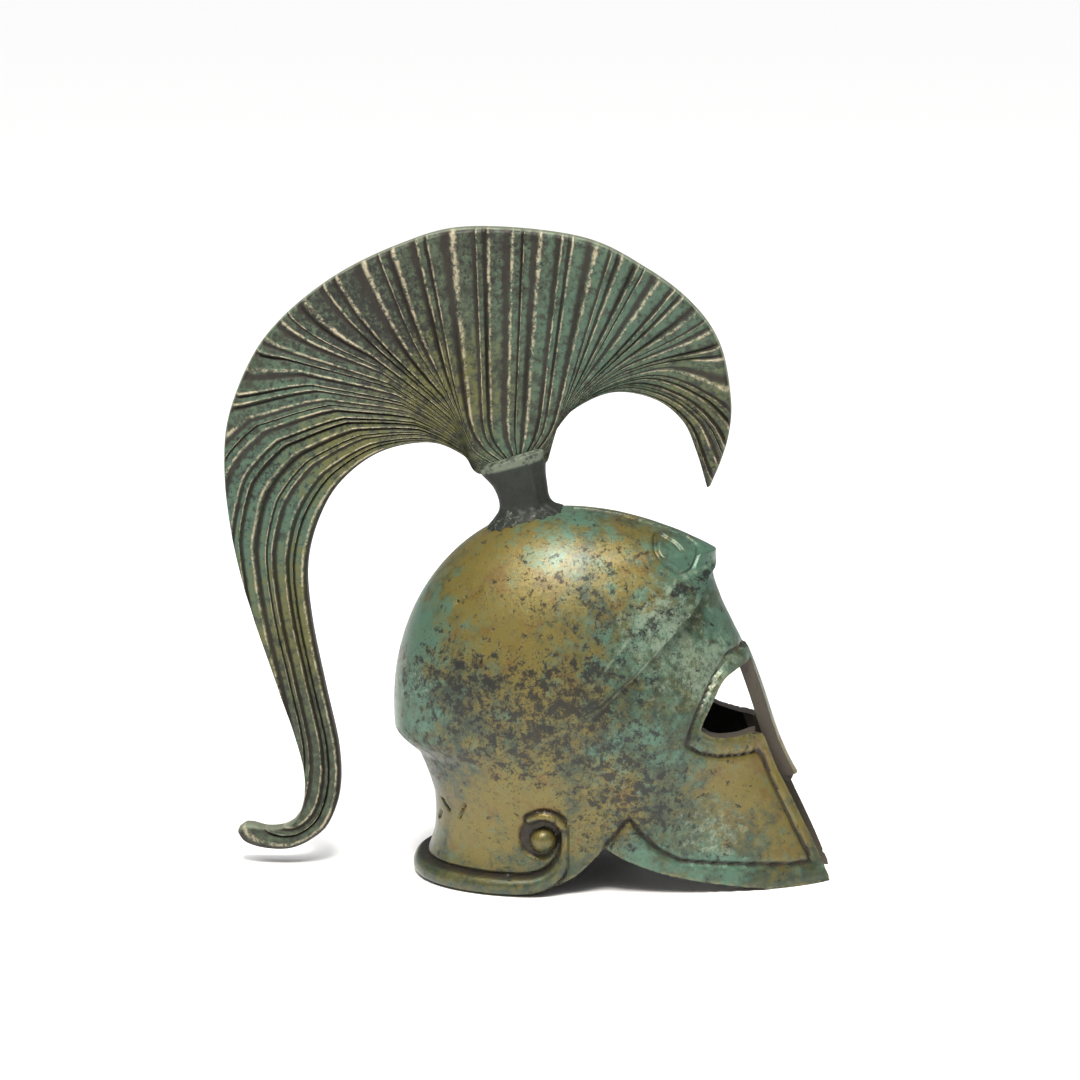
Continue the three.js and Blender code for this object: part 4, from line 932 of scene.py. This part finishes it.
def helmet_patina():
    """Cast bronze with a mottled crust, wax sheen, dark grooves and rubbed edges, with painted shade under
    the bowl's edge, a painted highlight along it and a painted sheen on the front of the bowl.
    """
    m = Patina("helmet_patina")
    kind = m.kept("kind")
    cloud, crust, fine = m.noise(0.07, 5.0, 0.6), m.noise(0.30, 9.0, 0.74), m.noise(1.3, 6.0, 0.78)
    broken = cloud * 0.30 + crust * 0.45 + fine * 0.25
    ochre = (m.patches(OCHRE_PLACES) * 0.22 + broken).step(0.50, 0.70)
    blue = (m.patches(TURQUOISE_PLACES) * 0.22 + m.noise(0.22, 9.0, 0.74)).step(0.52, 0.74)
    # Pale green, partly crust and partly painted sheen.
    pale_crust_and_sheen = (m.patches(PALE_CRUST_AND_SHEEN_PLACES) * 0.24 + m.noise(0.5, 8.0, 0.78)).step(0.58, 0.82)
    colour = crust.step(0.36, 0.62).paint(DEEP_GREEN, OLIVE)
    colour = (ochre * 0.95).paint(colour, OCHRE)
    colour = ((m.noise(0.16, 6.0, 0.7)).step(0.50, 0.66) * ochre * 0.75).paint(colour, RUST)
    colour = (blue * 0.92).paint(colour, TURQUOISE)
    colour = (pale_crust_and_sheen * 0.85).paint(colour, PALE_GREEN_AND_HIGHLIGHT)
    crease = m.kept("above_crease")
    # Under the bowl's overhanging edge the black specks are made thicker: this is painted shade.
    under = crease.step(-6.0, -2.0) * crease.step(0.2, -0.8)
    dark_patches_and_shade = m.patches(DARK_PLACES).most(under * 0.7)
    blotches_and_shade = (m.noise(0.42, 9.0, 0.74) + dark_patches_and_shade * 0.135).step(0.575, 0.655)
    flecks_and_shade = (m.noise(1.5, 5.0, 0.7) + dark_patches_and_shade * 0.10).step(0.60, 0.68)
    specks_and_shade = blotches_and_shade.most(flecks_and_shade * 0.85)
    # Black specks of the patina, and under the bowl's edge painted shade.
    colour = (specks_and_shade * 0.90).paint(colour, BLACK)
    engraved = m.kept("engraved").step(0.75, 0.2).most(m.kept("bead_top").step(0.8, 0.2))
    scroll = m.kept("scroll").step(5.2, 4.4) * m.kept("knob").step(2.5, 3.1) * m.z.step(27, 24)
    slit = m.kept("slit").step(0.45, 0.10) * m.noise(1.1, 3.0).step(0.40, 0.56)
    hollow = engraved.most(scroll).most(slit)
    colour = (hollow * (0.55 + m.noise(0.9, 5.0) * 0.7)).paint(colour, BROWN)
    rubbed = m.kept("cut_edge").step(0.9, 0.15) * m.noise(0.7, 6.0).step(0.42, 0.60)
    # A pale broken line along the top of the bowl's edge, in front, is a painted highlight.
    painted_edge_highlight = crease.step(-0.5, 0.1) * crease.step(0.9, 0.2) * m.noise(0.5, 4.0).step(0.42, 0.60)
    colour = (rubbed * 0.55).paint(colour, RUBBED_GOLD)
    colour = (painted_edge_highlight * m.x.step(12, 24) * 0.6).paint(colour, PALE_GREEN_AND_HIGHLIGHT)
    colour = kind.step(1.4, 1.6).paint(colour, CUT_BROWN)
    colour = (kind.step(0.4, 0.6) * kind.step(1.6, 1.4)).paint(colour, INSIDE_BLACK)
    rough = 0.27 + specks_and_shade * 0.14 + hollow * 0.30 + fine * 0.14 + kind.step(0.4, 0.6) * 0.25
    brush = m.noise(2.2, 3.0, 0.6, 0.0, (0.25, 0.25, 2.2))
    height = fine * 0.10 + m.noise(4.0, 3.0) * 0.035 + brush * 0.025 - specks_and_shade * 0.05 - slit * 0.25
    height = height - engraved * 0.12
    m.finish(colour, rough, 0.35, height, Coat_Weight=0.25, Coat_Roughness=0.28)
    return m.material


keep_shell_distances(shell)
dress(shell, helmet_patina(), 40)
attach(shell, "root")
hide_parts("helmet_shell")
print("helmet dressed")

# %% [markdown]
# ### Crest
#
# Dark brown grooves, dull green flats and ridges worn to a broken tan line. Turquoise lies to the
# left, olive along the inside of the tail, and the socket is nearly black.

# %% Crest patina
STRAND_BLUE_PLACES = [(-58, 80, 24, 1.0), (-50, 110, 14, 0.6), (20, 128, 22, 0.8), (-4, 100, 8, 0.7)]
STRAND_OLIVE_PLACES = [(-46, 60, 18, 1.0), (-40, 96, 13, 0.9), (-20, 112, 15, 0.8), (36, 108, 14, 0.6)]
STRAND_BLACK_PLACES = [(-36, 128, 18, 1.0), (-8, 146, 12, 0.7), (-62, 92, 10, 0.6), (40, 100, 9, 0.6)]


def crest_patina():
    """Strand by strand: the strand number's fraction says where in its section a place lies."""
    m = Patina("crest_patina")
    where = m.place.node("ShaderNodeUVMap", 0, {"uv_map": "strand"})
    parts = where.node("ShaderNodeSeparateXYZ", 0, _0=where).socket.node.outputs
    u, along = Signal(m.tree, parts[0]), Signal(m.tree, parts[1])
    on_hair = u.step(-0.6, -0.4)
    shaken = u + (m.noise(0.5, 3.0) - 0.5) * 0.22
    phase = shaken.math("FRACT")
    line = ((phase - 0.26).math("ABSOLUTE")).step(0.13, 0.02)
    groove = ((phase - 0.5).math("ABSOLUTE")).step(0.26, 0.45)
    worn = (m.noise(0.22, 7.0, 0.74) * 0.5 + m.noise(1.4, 5.0, 0.75) * 0.5).step(0.44, 0.56)
    grain, mottle = m.noise(1.8, 5.0, 0.75), m.noise(0.40, 9.0, 0.74)
    blue = m.patches(STRAND_BLUE_PLACES)
    olive = m.patches(STRAND_OLIVE_PLACES)
    colour = mottle.step(0.38, 0.62).paint(STRAND_SHADE, STRAND_GREEN)
    colour = ((blue * 0.20 + mottle).step(0.50, 0.72) * 0.9).paint(colour, STRAND_BLUE)
    colour = ((olive * 0.22 + mottle).step(0.54, 0.74) * 0.9).paint(colour, STRAND_OLIVE)
    black_places = m.patches(STRAND_BLACK_PLACES)
    dark = (black_places * 0.14 + m.noise(0.9, 7.0, 0.76)).step(0.56, 0.66)
    colour = (dark * 0.85).paint(colour, BLACK)
    colour = (groove * on_hair * 0.90).paint(colour, BROWN)
    colour = (line * worn * on_hair * 0.85).paint(colour, TAN)
    rim = along.step(0.992, 0.999) * on_hair
    colour = (rim * 0.6).paint(colour, RIM_GREEN)
    socket = 1.0 - on_hair
    colour = (socket * 0.88).paint(colour, SOCKET_BLACK)
    lip = (m.z - m.x * 0.28).step(96.4, 97.2)
    ledge = socket * lip * mottle.step(0.40, 0.56)
    foot = socket * m.z.step(88.0, 84.5) * m.noise(1.0, 6.0, 0.7).step(0.55, 0.66)
    colour = (ledge.most(foot) * 0.7).paint(colour, LIP_GREEN)
    rough = 0.46 + grain * 0.22 + groove * 0.12
    height = grain * 0.12 + m.noise(4.0, 3.0) * 0.05 + (line * 0.10 - groove * 0.16) * on_hair
    m.finish(colour, rough, 0.30, height, Coat_Weight=0.12, Coat_Roughness=0.35)
    return m.material


keep_kinds(crest.data)
dress(crest, crest_patina(), 50)
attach(crest, "root")
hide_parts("crest")
print("crest dressed")

# %% [markdown]
# ### Pin and floor
#
# The pin is hidden inside the join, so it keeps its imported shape. Its metal goes into its object's
# material slot, which leaves its mesh as it was packed.

# %% Pin and floor


def pin_metal():
    """Plain dull bronze with a faint grain."""
    m = Patina("pin_metal")
    grain = m.noise(1.5)
    m.finish(grain.paint((0.30, 0.20, 0.09, 1), (0.42, 0.29, 0.14, 1)), 0.4 + grain * 0.1, 0.9, grain * 0.02)
    return m.material


def floor_white():
    """Matt white paper with a trace of tooth."""
    m = Patina("floor_white")
    tooth = m.noise(0.2)
    m.finish(tooth.paint((0.93, 0.93, 0.93, 1), (0.95, 0.95, 0.95, 1)), 0.9, 0.0, tooth * 0.01)
    return m.material


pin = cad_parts["crest_pin"]
metal = pin_metal()
for slot in pin.material_slots:
    slot.link = "OBJECT"
    slot.material = metal
floor.data.materials.append(floor_white())
print("pin dressed in", len(pin.material_slots), "slot, floor in", len(floor.material_slots))
